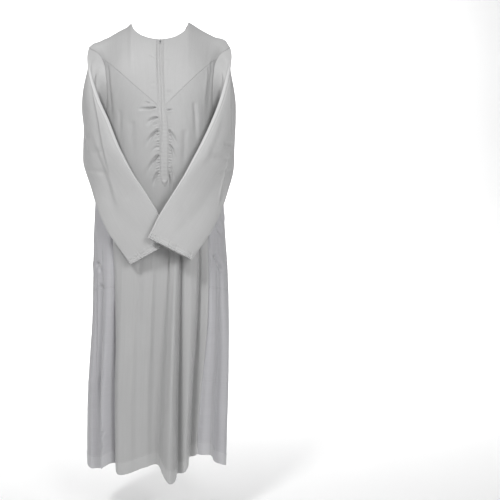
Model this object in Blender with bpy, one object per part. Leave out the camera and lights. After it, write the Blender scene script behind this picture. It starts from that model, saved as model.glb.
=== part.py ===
"""Collarless ankle-length robe (thobe), built from its cut pieces in the shape it takes when worn.

Metres, +Z up. The wearer faces -Y, and +X is the wearer's left. The origin is the middle of the
neck opening at the height of its highest edge, where the wearer's shoulders carry the cloth.
Each piece is a wall of cloth: its outer points come from one body surface or from sleeve rings,
and its inner points lie one wall thickness behind them.
"""

from collections import namedtuple

import bmesh
import bpy
import numpy as np

# Driving sizes of the garment.
WALL = 0.0015
SEAM_GAP = 0.0003
ARMHOLE_GAP = 0.0008
YOKE_GAP = 0.00027
HEM_Z = -1.42
UNDERARM_Z = -0.300
NECK_HALF = 0.0885
NECK_POINT_Z = 0.0
NECK_CROWN = 0.004
SHOULDER_HALF = 0.222
SHOULDER_Y = 0.006
SHOULDER_TIP_Z = -0.070
ARMHOLE_ANGLE = np.radians(72.0)

# The V-shaped seam of the chest yoke.
YOKE_POINT_Z = -0.273
YOKE_SLOPE = 0.92
YOKE_BEND_X = 0.150
YOKE_BEND = 6.0

# The front opening and the fly that covers it.
SLIT_END_Z = -0.480
FLY_END_Z = -0.505
FLY_WALL = 0.0012
FLY_GAP = 0.0007

# The gathers that the fly draws into the cloth beside it.
GATHER_PITCH = 0.0122
GATHER_REACH = 0.0065
GATHER_DEPTH = 0.0015
GATHER_TOP_Z = -0.265
GATHER_FULL_Z = -0.330
GATHER_FADE = 0.02
GATHER_SHIFT = 1.9
GATHER_SLANT = 60.0
FLY_MARGIN = 0.001

# Pockets in the side seams.
POCKET_TOP_Z = -0.700
POCKET_END_Z = -0.860
POCKET_GAPE = 0.0025
BAG_END_Z = -0.930
BAG_INSET = 0.0100
BAG_WALL = 0.0020
BAG_RISE = 0.0100
BAG_START = np.radians(34.0)
BAG_TURN = np.radians(38.0)

# Turn round the body that a width takes up along the gores, against the same width in front.
GORE_STRETCH = 1.6

# Cloth of the pieces.
MAIN_COLOUR, MAIN_ROUGHNESS = (0.62, 0.63, 0.64), 0.45
YOKE_COLOUR, YOKE_ROUGHNESS = (0.66, 0.67, 0.68), 0.48
LINING_COLOUR, LINING_ROUGHNESS = (0.60, 0.60, 0.60), 0.70

# Level of the body, half width, depth of the front and of the back, and sideways lean of the ring.
Section = namedtuple("Section", "z half_width front_depth back_depth lean")
SECTIONS = [
    Section(-0.300, 0.178, 0.116, 0.106, 0.000),
    Section(-0.420, 0.185, 0.108, 0.098, 0.000),
    Section(-0.545, 0.205, 0.098, 0.092, 0.000),
    Section(-0.650, 0.211, 0.103, 0.094, 0.000),
    Section(-0.800, 0.218, 0.110, 0.106, 0.004),
    Section(-0.950, 0.222, 0.118, 0.116, 0.003),
    Section(-1.150, 0.226, 0.128, 0.130, -0.005),
    Section(-1.420, 0.227, 0.138, 0.146, -0.010),
]

# Sideways place of the front's centre line, which the cloth carries with it.
Drift = namedtuple("Drift", "z x")
CENTRE_DRIFT = [
    Drift(0.00, 0.0030), Drift(-0.20, 0.0030), Drift(-0.26, 0.0060), Drift(-0.31, 0.0115),
    Drift(-0.36, 0.0138), Drift(-0.46, 0.0142), Drift(-0.51, 0.0160), Drift(-1.00, 0.0000),
]

# Angle of each lengthwise seam, in degrees from the centre front.
Seam = namedtuple("Seam", "z front side back")
SEAMS = [
    Seam(-0.300, 72.0, 90.0, 108.0),
    Seam(-0.450, 58.0, 88.0, 117.0),
    Seam(-0.650, 46.5, 86.0, 127.0),
    Seam(-0.950, 43.0, 80.0, 133.0),
    Seam(-1.420, 39.0, 74.0, 139.0),
]

# Armhole edge: share of the way up, half width of the front and of the back panel there.
Armhole = namedtuple("Armhole", "rise front back")
ARMHOLE = [
    Armhole(0.00, 0.1693, 0.1693),
    Armhole(0.30, 0.1640, 0.1680),
    Armhole(0.60, 0.1670, 0.1730),
    Armhole(0.78, 0.1750, 0.1820),
    Armhole(0.90, 0.1930, 0.1980),
    Armhole(1.00, 0.2220, 0.2220),
]

# How each half of the top is shaped: depth of the neck opening below its side points, fullness
# beside the armhole, and how squarely the cloth turns over the shoulder.
Top = namedtuple("Top", "neck_drop fullness squareness")
FRONT_TOP = Top(0.057, 0.020, 1.50)
BACK_TOP = Top(0.040, 0.026, 1.80)
SHOULDER_TURN = 2.4

# How much higher than a straight line each shoulder lies, from the neck point (0) to the tip (1).
Shoulder = namedtuple("Shoulder", "out right left")
SHOULDERS = [
    Shoulder(0.00, 0.0020, 0.0060), Shoulder(0.10, -0.0030, 0.0050), Shoulder(0.20, -0.0030, 0.0040),
    Shoulder(0.35, -0.0030, 0.0030), Shoulder(0.55, -0.0035, 0.0040), Shoulder(0.65, -0.0020, 0.0050),
    Shoulder(0.75, -0.0010, 0.0090), Shoulder(0.82, 0.0010, 0.0120), Shoulder(0.91, 0.0030, 0.0110),
    Shoulder(1.00, 0.0000, 0.0000),
]

# Lengthwise folds: angles in degrees at the top and the hem, where the fold starts, how far it
# stands out (+) or sinks in (-) at the hem, and its reach to either side in degrees at the hem.
Fold = namedtuple("Fold", "name top_angle hem_angle start_z swell low_side high_side")
FOLDS = [
    Fold("right seam valley", -46.0, -39.5, -0.48, -0.022, 6.0, 4.5),
    Fold("right thigh ridge", -36.0, -30.5, -0.50, 0.010, 5.0, 12.0),
    Fold("centre valley", 2.0, 0.5, -0.42, -0.030, 16.0, 3.0),
    Fold("centre ridge", 9.5, 9.6, -0.52, 0.038, 5.2, 6.0),
    Fold("narrow valley", 14.0, 18.6, -0.44, -0.017, 3.0, 3.4),
    Fold("left thigh ridge", 24.0, 24.0, -0.50, 0.008, 4.0, 5.0),
    Fold("left deep valley", 37.0, 33.5, -0.46, -0.034, 6.5, 7.5),
    Fold("left gore valley", 61.0, 65.0, -0.55, -0.022, 9.0, 6.5),
    Fold("left side ridge", 80.0, 74.0, -0.60, 0.010, 7.0, 8.0),
    Fold("left back valley", 106.0, 103.0, -0.62, -0.020, 8.0, 9.0),
    Fold("left back ridge", 128.0, 124.0, -0.50, 0.016, 8.0, 9.0),
    Fold("left seat valley", 146.0, 147.0, -0.48, -0.024, 8.0, 8.0),
    Fold("centre back ridge", 172.0, 169.0, -0.45, 0.018, 9.0, 9.0),
    Fold("right seat valley", 196.0, 193.0, -0.48, -0.022, 8.0, 8.0),
    Fold("right back ridge", 219.0, 216.0, -0.50, 0.016, 8.0, 9.0),
    Fold("right back valley", 243.0, 239.0, -0.60, -0.022, 8.0, 9.0),
    Fold("right side ridge", 276.0, 278.0, -0.60, 0.003, 9.0, 7.0),
    Fold("right gore valley", 297.0, 300.0, -0.62, -0.022, 7.0, 6.0),
    Fold("right gore ridge", 309.0, 311.0, -0.60, 0.008, 5.0, 5.0),
]
FOLD_START_WIDTH = 0.42
FOLD_GROWTH = 1.25

# How far the hem is drawn up above HEM_Z, by angle in degrees from the centre front.
Lift = namedtuple("Lift", "angle lift")
HEM_LIFTS = [
    Lift(-180, 0.004), Lift(-90, 0.000), Lift(-72, -0.008), Lift(-52, 0.006), Lift(-41, 0.026),
    Lift(-33, 0.006), Lift(-20, 0.012), Lift(-8, 0.026), Lift(2, 0.026), Lift(8, -0.004),
    Lift(18, 0.000), Lift(28, 0.028), Lift(40, 0.055), Lift(52, 0.050), Lift(66, 0.014),
    Lift(80, -0.004), Lift(120, 0.008), Lift(180, 0.004),
]
LIFT_START_Z = -1.02

# Drag folds that run from the fly into the front: both ends, depth and reach of each trough.
Crease = namedtuple("Crease", "x0 z0 x1 z1 depth reach")
CREASES = [
    Crease(-0.006, -0.270, -0.080, -0.270, 0.0040, 0.0070),
    Crease(0.000, -0.316, -0.048, -0.336, 0.0045, 0.0090),
    Crease(0.000, -0.342, -0.052, -0.400, 0.0060, 0.0095),
    Crease(0.000, -0.416, -0.046, -0.482, 0.0060, 0.0095),
    Crease(0.028, -0.336, 0.064, -0.400, 0.0055, 0.0090),
    Crease(0.028, -0.380, 0.052, -0.454, 0.0050, 0.0090),
    Crease(0.026, -0.458, 0.043, -0.540, 0.0055, 0.0090),
    Crease(0.148, -0.170, 0.134, -0.330, 0.0060, 0.0120),
    Crease(0.112, -0.235, 0.106, -0.350, 0.0040, 0.0120),
    Crease(-0.148, -0.170, -0.138, -0.330, 0.0055, 0.0120),
    Crease(-0.125, -0.220, -0.118, -0.350, 0.0040, 0.0120),
]

# Width of the fly by level.
Fly = namedtuple("Fly", "z half_width")
FLY = [Fly(0.0, 0.0120), Fly(-0.44, 0.0122), Fly(-0.475, 0.0115), Fly(-0.495, 0.0085), Fly(-0.505, 0.0050)]

# Sleeve rings for the +X arm. The crease runs from the shoulder tip along the front of the arm,
# the seam from the underarm along its back. Swell is the fullness to the outside, tuck to the body.
Ring = namedtuple("Ring", "t crease_x crease_y crease_z seam_x seam_y seam_z swell tuck")
LEFT_SLEEVE = [
    Ring(0.00, 0.2220, 0.004, -0.070, 0.178, 0.03, -0.300, 0.0015, 0.0015),
    Ring(0.06, 0.2250, -0.022, -0.104, 0.194, 0.035, -0.314, 0.0175, 0.0015),
    Ring(0.14, 0.2055, -0.054, -0.178, 0.212, 0.058, -0.338, 0.0265, 0.0015),
    Ring(0.22, 0.1850, -0.075, -0.245, 0.219, 0.056, -0.368, 0.0335, 0.0015),
    Ring(0.31, 0.1540, -0.102, -0.319, 0.226, 0.044, -0.405, 0.0365, -0.0005),
    Ring(0.40, 0.1220, -0.126, -0.384, 0.233, 0.012, -0.444, 0.0315, -0.0045),
    Ring(0.47, 0.0980, -0.140, -0.428, 0.230, -0.016, -0.476, 0.0235, -0.0075),
    Ring(0.54, 0.0760, -0.150, -0.4685, 0.219, -0.044, -0.509, 0.0175, -0.0045),
    Ring(0.66, 0.0375, -0.160, -0.530, 0.197, -0.082, -0.570, 0.0135, 0.0005),
    Ring(0.79, 0.0000, -0.164, -0.590, 0.162, -0.114, -0.640, 0.0125, 0.0060),
    Ring(0.90, -0.0190, -0.166, -0.628, 0.129, -0.134, -0.687, 0.0110, 0.0068),
    Ring(1.00, -0.0345, -0.168, -0.6600, 0.0976, -0.151, -0.7290, 0.0095, 0.0070),
]
RIGHT_SLEEVE = [
    Ring(0.00, 0.2220, 0.004, -0.070, 0.178, 0.03, -0.300, 0.0015, 0.0015),
    Ring(0.06, 0.2255, -0.022, -0.106, 0.194, 0.035, -0.314, 0.0175, 0.0015),
    Ring(0.14, 0.2110, -0.050, -0.168, 0.212, 0.058, -0.338, 0.0265, 0.0015),
    Ring(0.22, 0.1860, -0.072, -0.240, 0.219, 0.056, -0.368, 0.0335, 0.0015),
    Ring(0.31, 0.1560, -0.096, -0.305, 0.229, 0.044, -0.405, 0.0365, -0.0005),
    Ring(0.40, 0.1260, -0.114, -0.380, 0.237, 0.012, -0.440, 0.0315, -0.0045),
    Ring(0.47, 0.1060, -0.123, -0.420, 0.231, -0.014, -0.468, 0.0215, -0.0075),
    Ring(0.54, 0.0850, -0.129, -0.460, 0.217, -0.042, -0.505, 0.0135, -0.0045),
    Ring(0.66, 0.0500, -0.133, -0.513, 0.196, -0.078, -0.568, 0.0075, 0.0005),
    Ring(0.79, 0.0080, -0.135, -0.580, 0.162, -0.104, -0.643, 0.0070, 0.0050),
    Ring(0.90, -0.0180, -0.136, -0.626, 0.128, -0.116, -0.692, 0.0070, 0.0062),
    Ring(1.00, -0.0430, -0.137, -0.6700, 0.0887, -0.127, -0.7450, 0.0070, 0.0070),
]
SLEEVE_HEAD = 0.15
FOLD_BULK = 0.0045
HEAD_BULK = 0.004
HEAD_BULK_END = 0.30
FLANK_POWER = 1.2
LOOP_SHARES = [0.0, 0.49, 0.64, 1.0]

# How far the inner half of the upper sleeve is drawn towards the chest at its middle.
Draw = namedtuple("Draw", "t x y z")
ARMPIT = [
    Draw(0.00, -0.033, -0.069, -0.065), Draw(0.06, -0.014, -0.039, -0.031),
    Draw(0.14, -0.005, -0.044, -0.033), Draw(0.22, -0.001, -0.030, -0.018),
    Draw(0.31, 0.000, -0.012, -0.006), Draw(0.40, 0.000, 0.000, 0.000),
    Draw(1.00, 0.000, 0.000, 0.000),
]

# Lengthwise folds of a sleeve: turn round the arm in degrees at both ends (0 the crease, 90 the
# outside, 180 the seam, 270 the side to the body), share of the way down, depth (+ sinks) and reach.
Furrow = namedtuple("Furrow", "turn0 turn1 t0 t1 depth reach")
LEFT_FURROWS = [
    Furrow(60.0, 92.0, 0.05, 0.60, 0.0070, 13.0),
    Furrow(118.0, 138.0, 0.12, 0.66, -0.0040, 12.0),
    Furrow(112.0, 84.0, 0.42, 0.92, 0.0030, 16.0),
    Furrow(282.0, 300.0, -0.10, 0.26, 0.0060, 12.0),
    Furrow(322.0, 318.0, -0.10, 0.26, -0.0040, 10.0),
]
RIGHT_FURROWS = [
    Furrow(48.0, 96.0, 0.04, 0.66, 0.0075, 13.0),
    Furrow(112.0, 132.0, 0.10, 0.60, -0.0040, 12.0),
    Furrow(120.0, 92.0, 0.50, 0.95, 0.0030, 16.0),
    Furrow(286.0, 304.0, -0.10, 0.25, 0.0060, 12.0),
    Furrow(326.0, 320.0, -0.10, 0.25, -0.0040, 10.0),
]

# How fast a crease rises from its start and runs out, and how much of it is there at its start.
CREASE_RISE = 4.0
CREASE_FALL = 2.0
CREASE_ROOT = 0.4
# How closely the drift and the gathers keep to the middle of the front.
FRONT_FOCUS = 6

# Mesh steps: enough for the folds and gathers, and few elsewhere.
SKIRT_ROWS = np.linspace(HEM_Z, UNDERARM_Z, 20)
FLY_CLEAR = 0.0130
FLY_COLUMN = 0.08
GATHER_COLUMNS = [0.079, 0.080, 0.130, 0.165, 0.300, 0.301]
GATHER_STEPS = [1, 16, 16, 8, 4, 1]
SLIT_COLUMN = 0.0037
NECK_TURNS = np.array([12.5, 17.5, 26.0, 40.0, 56.0, 72.0, 90.0])
EDGE_TURN = 0.5 * SEAM_GAP / SECTIONS[0].half_width
SLEEVE_COLUMNS = [12, 3, 12]
SLEEVE_ROWS = 18
ROW_POWER = 1.1
SHOULDER_LINES = 7
CHEST_LINES = 6
YOKE_LINES = 9
NAPE_LINES = 6
BACK_LINES = 8
GORE_LINES = 7
BAG_LINES = 7
BAG_ROWS = 8
FLY_TOP_SHARE = 0.985
FLY_TOP_LINES = 11
FLY_LOW_LINES = 14
FLY_STEP = 0.004
ARMHOLE_POINTS = 40
UNDERARM_POINTS = 13
SHARP_ANGLE = np.radians(50.0)

# Steps by which slopes are measured, and rounds after which a sought place is near enough.
STEP = 1e-4
RUN_STEP = 0.01
CLIMB_STEPS = 30
SHARE_STEPS = 8
PLACE_STEPS = 6


def ease(t):
    """Smooth step from 0 to 1."""
    t = np.clip(t, 0.0, 1.0)
    return t * t * (3.0 - 2.0 * t)


def along(table, column, where):
    """Smooth curve through one column of a table, read at places along the table's first column."""
    knots = np.array([row[0] for row in table], float)
    values = np.array([getattr(row, column) for row in table], float)
    if knots[0] > knots[-1]:
        knots, values = knots[::-1], values[::-1]
    slopes = np.gradient(values, knots)
    slopes[[0, -1]] = 0.0
    where = np.clip(where, knots[0], knots[-1])
    i = np.clip(np.searchsorted(knots, where) - 1, 0, len(knots) - 2)
    span = knots[i + 1] - knots[i]
    t = (where - knots[i]) / span
    start = (2 * t**3 - 3 * t**2 + 1) * values[i] + (t**3 - 2 * t**2 + t) * span * slopes[i]
    end = (3 * t**2 - 2 * t**3) * values[i + 1] + (t**3 - t**2) * span * slopes[i + 1]
    return start + end


def turn_between(angle, centre):
    """Signed difference of two angles, wrapped to half a turn either way."""
    return (angle - centre + np.pi) % (2.0 * np.pi) - np.pi


def fold_swell(angle, z):
    """How far the lengthwise folds move the cloth out at an angle and level."""
    total = np.zeros(np.broadcast(angle, z).shape)
    for fold in FOLDS:
        fall = np.clip((fold.start_z - z) / (fold.start_z - HEM_Z), 0.0, 1.0)
        centre = np.radians(fold.top_angle + (fold.hem_angle - fold.top_angle) * fall)
        delta = turn_between(angle, centre)
        reach = np.radians(np.where(delta < 0, fold.low_side, fold.high_side))
        reach = reach * (FOLD_START_WIDTH + (1.0 - FOLD_START_WIDTH) * fall)
        total = total + fold.swell * ease(fall * FOLD_GROWTH) * np.exp(-((delta / reach) ** 2))
    return total


def beside_fly(x, z):
    """How far a place of the front lies outside the edge of the fly, and on which side."""
    off_centre = x - along(CENTRE_DRIFT, "x", z)
    return np.maximum(np.abs(off_centre) - along(FLY, "half_width", z) - FLY_MARGIN, 0.0), off_centre > 0


def crease_dip(x, z):
    """How deep the drag folds of the front sink at a place."""
    total = np.zeros(np.shape(x))
    for crease in CREASES:
        run = np.array([crease.x1 - crease.x0, crease.z1 - crease.z0])
        share = ((x - crease.x0) * run[0] + (z - crease.z0) * run[1]) / (run @ run)
        near = np.clip(share, 0.0, 1.0)
        away = np.hypot(x - crease.x0 - near * run[0], z - crease.z0 - near * run[1])
        fade = ease(CREASE_RISE * near + CREASE_ROOT) * ease(CREASE_FALL * (1.0 - near))
        total = total + crease.depth * fade * np.exp(-((away / crease.reach) ** 2))
    return total * ease(beside_fly(x, z)[0] / GATHER_REACH)


def gather_swell(x, z):
    """Small waves beside the fly, out of step on its two sides."""
    away, on_left = beside_fly(x, z)
    size = GATHER_DEPTH * ease((GATHER_TOP_Z - z) / (GATHER_TOP_Z - GATHER_FULL_Z))
    size = size * ease((z - FLY_END_Z) / GATHER_FADE)
    hump = away / GATHER_REACH * np.exp(0.5 - 0.5 * (away / GATHER_REACH) ** 2)
    phase = 2.0 * np.pi * z / GATHER_PITCH + np.where(on_left, GATHER_SHIFT, 0.0) + GATHER_SLANT * away
    return size * hump * np.sin(phase)


def ring_point(angle, z):
    """Plain body below the underarm, before its folds: x and y at an angle and level."""
    front = along(SECTIONS, "front_depth", z)
    back = along(SECTIONS, "back_depth", z)
    x = along(SECTIONS, "half_width", z) * np.sin(angle) + along(SECTIONS, "lean", z)
    y = -np.where(np.cos(angle) >= 0, front, back) * np.cos(angle)
    return x, y


def chest_x(angle, armhole_x):
    """Sideways place above the underarm: lines near the middle rise straight, outer ones follow the
    armhole."""
    lateral = np.sin(angle) / np.sin(ARMHOLE_ANGLE)
    base = ARMHOLE[0].front
    return lateral * (base + (armhole_x - base) * lateral**4)


def shoulder_rise(x):
    """How much higher than a straight line the top lies at a sideways place."""
    out = np.clip((np.abs(x) - NECK_HALF) / (SHOULDER_HALF - NECK_HALF), 0.0, 1.0)
    right, left = along(SHOULDERS, "right", out), along(SHOULDERS, "left", out)
    return right + (left - right) * ease(0.5 + 0.5 * x / NECK_HALF)


def top_point(angle, rise, top, armhole_x):
    """Plain chest or back above the underarm. rise is 0 there and 1 on the line of the shoulders."""
    lateral = np.sin(angle) / np.sin(ARMHOLE_ANGLE)
    top_x = chest_x(angle, SHOULDER_HALF)
    facing = -np.sign(np.cos(angle))
    out = np.clip((np.abs(top_x) - NECK_HALF) / (SHOULDER_HALF - NECK_HALF), 0.0, 1.0)
    crown = NECK_CROWN * np.clip(1.0 - (top_x / NECK_HALF) ** 2, 0.0, 1.0)
    top_z = NECK_POINT_Z + (SHOULDER_TIP_Z - NECK_POINT_Z) * out + crown + shoulder_rise(top_x)
    top_y = facing * SEAM_GAP + SHOULDER_Y * out
    low_y = ring_point(angle, np.full(np.shape(angle), UNDERARM_Z))[1]
    hang = (1.0 - np.clip(rise, 0.0, 1.0) ** SHOULDER_TURN) ** (1.0 / top.squareness)
    y = top_y + (low_y - top_y) * hang + facing * top.fullness * np.sin(np.pi * rise) * lateral**2
    return chest_x(angle, armhole_x), y, UNDERARM_Z + (top_z - UNDERARM_Z) * rise


def climb(angle, top, side, edge):
    """Level at which a line of the chest or back first meets an edge given as height by sideways
    place."""
    top_z = top_point(angle, np.ones(np.shape(angle)), top, 0.0)[2]
    low, high = np.zeros(np.shape(angle)), np.ones(np.shape(angle))
    for _ in range(CLIMB_STEPS):
        rise = 0.5 * (low + high)
        x = chest_x(angle, along(ARMHOLE, side, rise))
        beneath = UNDERARM_Z + (top_z - UNDERARM_Z) * rise < edge(x)
        low, high = np.where(beneath, rise, low), np.where(beneath, high, rise)
    return UNDERARM_Z * (1.0 - low)


def yoke_level(angle):
    """Level of the V-shaped seam on a line of the chest."""

    def edge(x):
        bend = YOKE_BEND * np.maximum(np.abs(x) - YOKE_BEND_X, 0.0) ** 2
        return YOKE_POINT_Z + YOKE_SLOPE * np.abs(x) - bend

    return climb(angle, FRONT_TOP, "front", edge)


def neck_level(angle, top, side):
    """Level of the top edge: the neck curve inside the neck points, the shoulder seam outside."""

    def edge(x):
        arc = np.sqrt(np.clip(1.0 - (x / NECK_HALF) ** 2, 0.0, 1.0))
        seam = shoulder_rise(x) * (1.0 - arc) + NECK_CROWN * (arc == 0.0)
        return NECK_POINT_Z - top.neck_drop * arc + seam

    return climb(angle, top, side, edge)


def body(angle, level):
    """Outer surface of the body: level is z below the underarm, and runs from there up to 0 on the
    line of the shoulders, whatever height that line has."""
    angle, level = np.broadcast_arrays(np.asarray(angle, float), np.asarray(level, float))
    rise = np.clip(1.0 - level / UNDERARM_Z, 0.0, 1.0)
    ring_x, ring_y = ring_point(angle, np.minimum(level, UNDERARM_Z))
    chest = top_point(angle, rise, FRONT_TOP, along(ARMHOLE, "front", rise))
    nape = top_point(angle, rise, BACK_TOP, along(ARMHOLE, "back", rise))
    x, y, z = (np.where(np.cos(angle) >= 0, c, n) for c, n in zip(chest, nape))
    lift_angle = np.degrees(turn_between(angle, 0.0))
    lift = along(HEM_LIFTS, "lift", lift_angle) * ease((LIFT_START_Z - level) / (LIFT_START_Z - HEM_Z))
    upper = level > UNDERARM_Z
    x, y = np.where(upper, x, ring_x), np.where(upper, y, ring_y)
    z = np.where(upper, z, level + lift)
    frontness = np.maximum(np.cos(angle), 0.0) ** FRONT_FOCUS
    x = x + along(CENTRE_DRIFT, "x", z) * frontness
    out = fold_swell(angle, level) - crease_dip(x, z) * (frontness > 0)
    out = out + gather_swell(x, z) * ease(frontness * 3.0)
    depth = along(SECTIONS, "front_depth", z) / along(SECTIONS, "half_width", z)
    across, forward = np.sin(angle) * depth, -np.cos(angle)
    size = np.hypot(across, forward)
    return np.stack([x + out * across / size, y + out * forward / size, z], axis=-1)


def seam_angle(name, level):
    """Angle of a lengthwise seam at a level, in radians."""
    return np.radians(along(SEAMS, name, np.minimum(level, UNDERARM_Z)))


def reach(level):
    """Half width that a line of the front would have if it lay at a quarter turn."""
    return along(SECTIONS, "half_width", np.minimum(level, UNDERARM_Z))


def spread(column, far_angle, level):
    """Angle of a column of the front: FLY_COLUMN follows the edge of the fly, 1 is far_angle."""
    fly_angle = FLY_CLEAR / reach(level)
    size = np.abs(column)
    beyond = fly_angle + (far_angle - fly_angle) * (size - FLY_COLUMN) / (1.0 - FLY_COLUMN)
    return np.sign(column) * np.where(size < FLY_COLUMN, fly_angle * size / FLY_COLUMN, beyond)


def normals_of(surface, u, v, low, high):
    """Unit normals of a surface by small steps that stay within its range of v."""
    u, v = np.asarray(u, float), np.asarray(v, float)
    across = surface(u + STEP, v) - surface(u - STEP, v)
    up = surface(u, np.minimum(v + STEP, high)) - surface(u, np.maximum(v - STEP, low))
    normal = np.cross(across, up)
    return normal / np.linalg.norm(normal, axis=-1, keepdims=True)


def mesh_normals(points, triangles):
    """Unit normals at the vertices of a mesh, weighted by the area of its triangles."""
    corners = np.array(triangles)
    a, b, c = (points[corners[:, k]] for k in range(3))
    total = np.zeros_like(points)
    for k in range(3):
        np.add.at(total, corners[:, k], np.cross(b - a, c - a))
    return total / np.linalg.norm(total, axis=1, keepdims=True)


def ladder(left, right):
    """Triangles that join two columns of vertices, whichever has more of them."""
    made, i, j = [], 0, 0
    while i < len(left) - 1 or j < len(right) - 1:
        left_share = (i + 1) / max(len(left) - 1, 1)
        right_share = (j + 1) / max(len(right) - 1, 1)
        if i < len(left) - 1 and (j == len(right) - 1 or left_share <= right_share):
            made.append((left[i], right[j], left[i + 1]))
            i += 1
        else:
            made.append((left[i], right[j], right[j + 1]))
            j += 1
    return made


def grid(columns, rows, finer=None, absent=None, closed=False):
    """Plane mesh over (column, row): its vertices and triangles. finer says how many steps a column
    takes between two rows, and absent which cells are left open."""
    places, lines = [], []
    for column in columns:
        line = []
        for low, high in zip(rows[:-1], rows[1:]):
            steps = finer(column, 0.5 * (low + high)) if finer else 1
            line.append([len(places) + k for k in range(steps + 1)])
            places += [(column, low + (high - low) * k / steps) for k in range(steps)]
        places.append((column, rows[-1]))
        lines.append(line)
    if closed:
        lines.append(lines[0])
        columns = list(columns) + [columns[0]]
    triangles = []
    for k in range(len(lines) - 1):
        for j in range(len(rows) - 1):
            middle = (0.5 * (columns[k] + columns[k + 1]), 0.5 * (rows[j] + rows[j + 1]))
            if not (absent and absent(*middle)):
                triangles += ladder(lines[k][j], lines[k + 1][j])
    return np.array(places, float), triangles


def cloth(name, outer, inner, triangles, material):
    """Closed wall of cloth between matching outer and inner points, with a rim along every edge."""
    count = len(outer)
    uses = {}
    for triangle in triangles:
        for a, b in zip(triangle, triangle[1:] + triangle[:1]):
            uses.setdefault(frozenset((a, b)), []).append((a, b))
    faces = list(triangles) + [tuple(v + count for v in reversed(t)) for t in triangles]
    for edge in (found[0] for found in uses.values() if len(found) == 1):
        a, b = edge
        faces += [(b, a, a + count), (b, a + count, b + count)]
    work = bmesh.new()
    verts = [work.verts.new(point) for point in np.concatenate([outer, inner])]
    for face in faces:
        work.faces.new([verts[v] for v in face])
    loose = [v for v in work.verts if not v.link_faces]
    bmesh.ops.delete(work, geom=loose, context="VERTS")
    bmesh.ops.recalc_face_normals(work, faces=work.faces)
    mesh = bpy.data.meshes.new(name)
    work.to_mesh(mesh)
    work.free()
    mesh.shade_smooth()
    mesh.set_sharp_from_angle(angle=SHARP_ANGLE)
    mesh.materials.append(material)
    made = bpy.data.objects.new(name, mesh)
    bpy.context.scene.collection.objects.link(made)
    return made


def panel(name, place, columns, rows, material, finer=None, absent=None, wall=WALL, raised=0.0):
    """Piece cut from the body. place turns (column, row) into an angle and a level."""
    places, triangles = grid(columns, rows, finer, absent)
    angle, level = place(places[:, 0], places[:, 1])
    normal = normals_of(body, angle, level, HEM_Z, 0.0)
    outer = body(angle, level) + normal * (raised + (wall if raised else 0.0))
    return cloth(name, outer, outer - normal * wall, triangles, material)


def fabric(name, colour, roughness):
    """Plain satin cloth."""
    material = bpy.data.materials.new(name)
    material.use_nodes = True
    shader = material.node_tree.nodes["Principled BSDF"]
    shader.inputs["Base Color"].default_value = (*colour, 1.0)
    shader.inputs["Roughness"].default_value = roughness
    shader.inputs["Metallic"].default_value = 0.0
    return material


def rising_rows(count):
    """Shares of the way up to the shoulder, closer together where the cloth turns over it."""
    return np.sin(0.5 * np.pi * np.linspace(0.0, 1.0, count))


def neck_shares(turns):
    """Share of the way from the middle to the armhole of the lines that end on the neck curve."""
    wanted = NECK_HALF * np.sin(np.radians(turns))
    base = ARMHOLE[0].front
    share = wanted / base
    for _ in range(SHARE_STEPS):
        share = (wanted - (SHOULDER_HALF - base) * share**5) / base
    return np.arcsin(share * np.sin(ARMHOLE_ANGLE)) / ARMHOLE_ANGLE


def chest_columns():
    """Columns shared by one half of the front and its yoke: they divide the neck curve evenly."""
    fly_share = FLY_CLEAR / reach(0.0) / ARMHOLE_ANGLE
    neck = FLY_COLUMN + (1.0 - FLY_COLUMN) * (neck_shares(NECK_TURNS) - fly_share) / (1.0 - fly_share)
    return np.concatenate([[SLIT_COLUMN, FLY_COLUMN], neck, np.linspace(neck[-1], 1.0, SHOULDER_LINES)[1:]])


def chest_place(column, share, from_level, top_level):
    """Angle and level on the chest: share 0 is from_level, and 1 is top_level at that angle."""
    level = np.full(np.shape(column), from_level)
    for _ in range(PLACE_STEPS):
        angle = spread(column, ARMHOLE_ANGLE - EDGE_TURN, level)
        level = from_level + (top_level(angle) - from_level) * share
    return angle, level


def make_front(material):
    """Front panel from the V-shaped seam down to the hem, open along the slit behind the fly."""

    def place(column, row):
        skirt = spread(column, seam_angle("front", row) - EDGE_TURN, row)
        share = 1.0 - row / UNDERARM_Z
        chest = chest_place(column, share, UNDERARM_Z, lambda angle: yoke_level(angle) - YOKE_GAP)
        on_chest = row > UNDERARM_Z
        return np.where(on_chest, chest[0], skirt), np.where(on_chest, chest[1], row)

    half = chest_columns()
    columns = np.concatenate([-half[::-1], half])
    rows = np.concatenate([SKIRT_ROWS, np.linspace(UNDERARM_Z, 0.0, CHEST_LINES)[1:]])

    def finer(column, row):
        steps = int(np.interp(abs(column), GATHER_COLUMNS, GATHER_STEPS))
        if row < FLY_END_Z - GATHER_FADE:
            return 1
        return steps if row < UNDERARM_Z else max(1, steps // CHEST_LINES)

    def absent(column, row):
        return abs(column) < half[0] and row > SLIT_END_Z

    return panel("front", place, columns, rows, material, finer, absent)


def make_yoke(name, side, material):
    """Half of the V-shaped chest yoke, between the fly and the armhole."""

    def place(column, row):
        angle, seam = chest_place(side * column, np.ones(np.shape(row)), UNDERARM_Z, yoke_level)
        top = neck_level(angle, FRONT_TOP, "front")
        return angle, seam + YOKE_GAP + (top - seam - YOKE_GAP) * row

    return panel(name, place, chest_columns(), rising_rows(YOKE_LINES), material)


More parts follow.
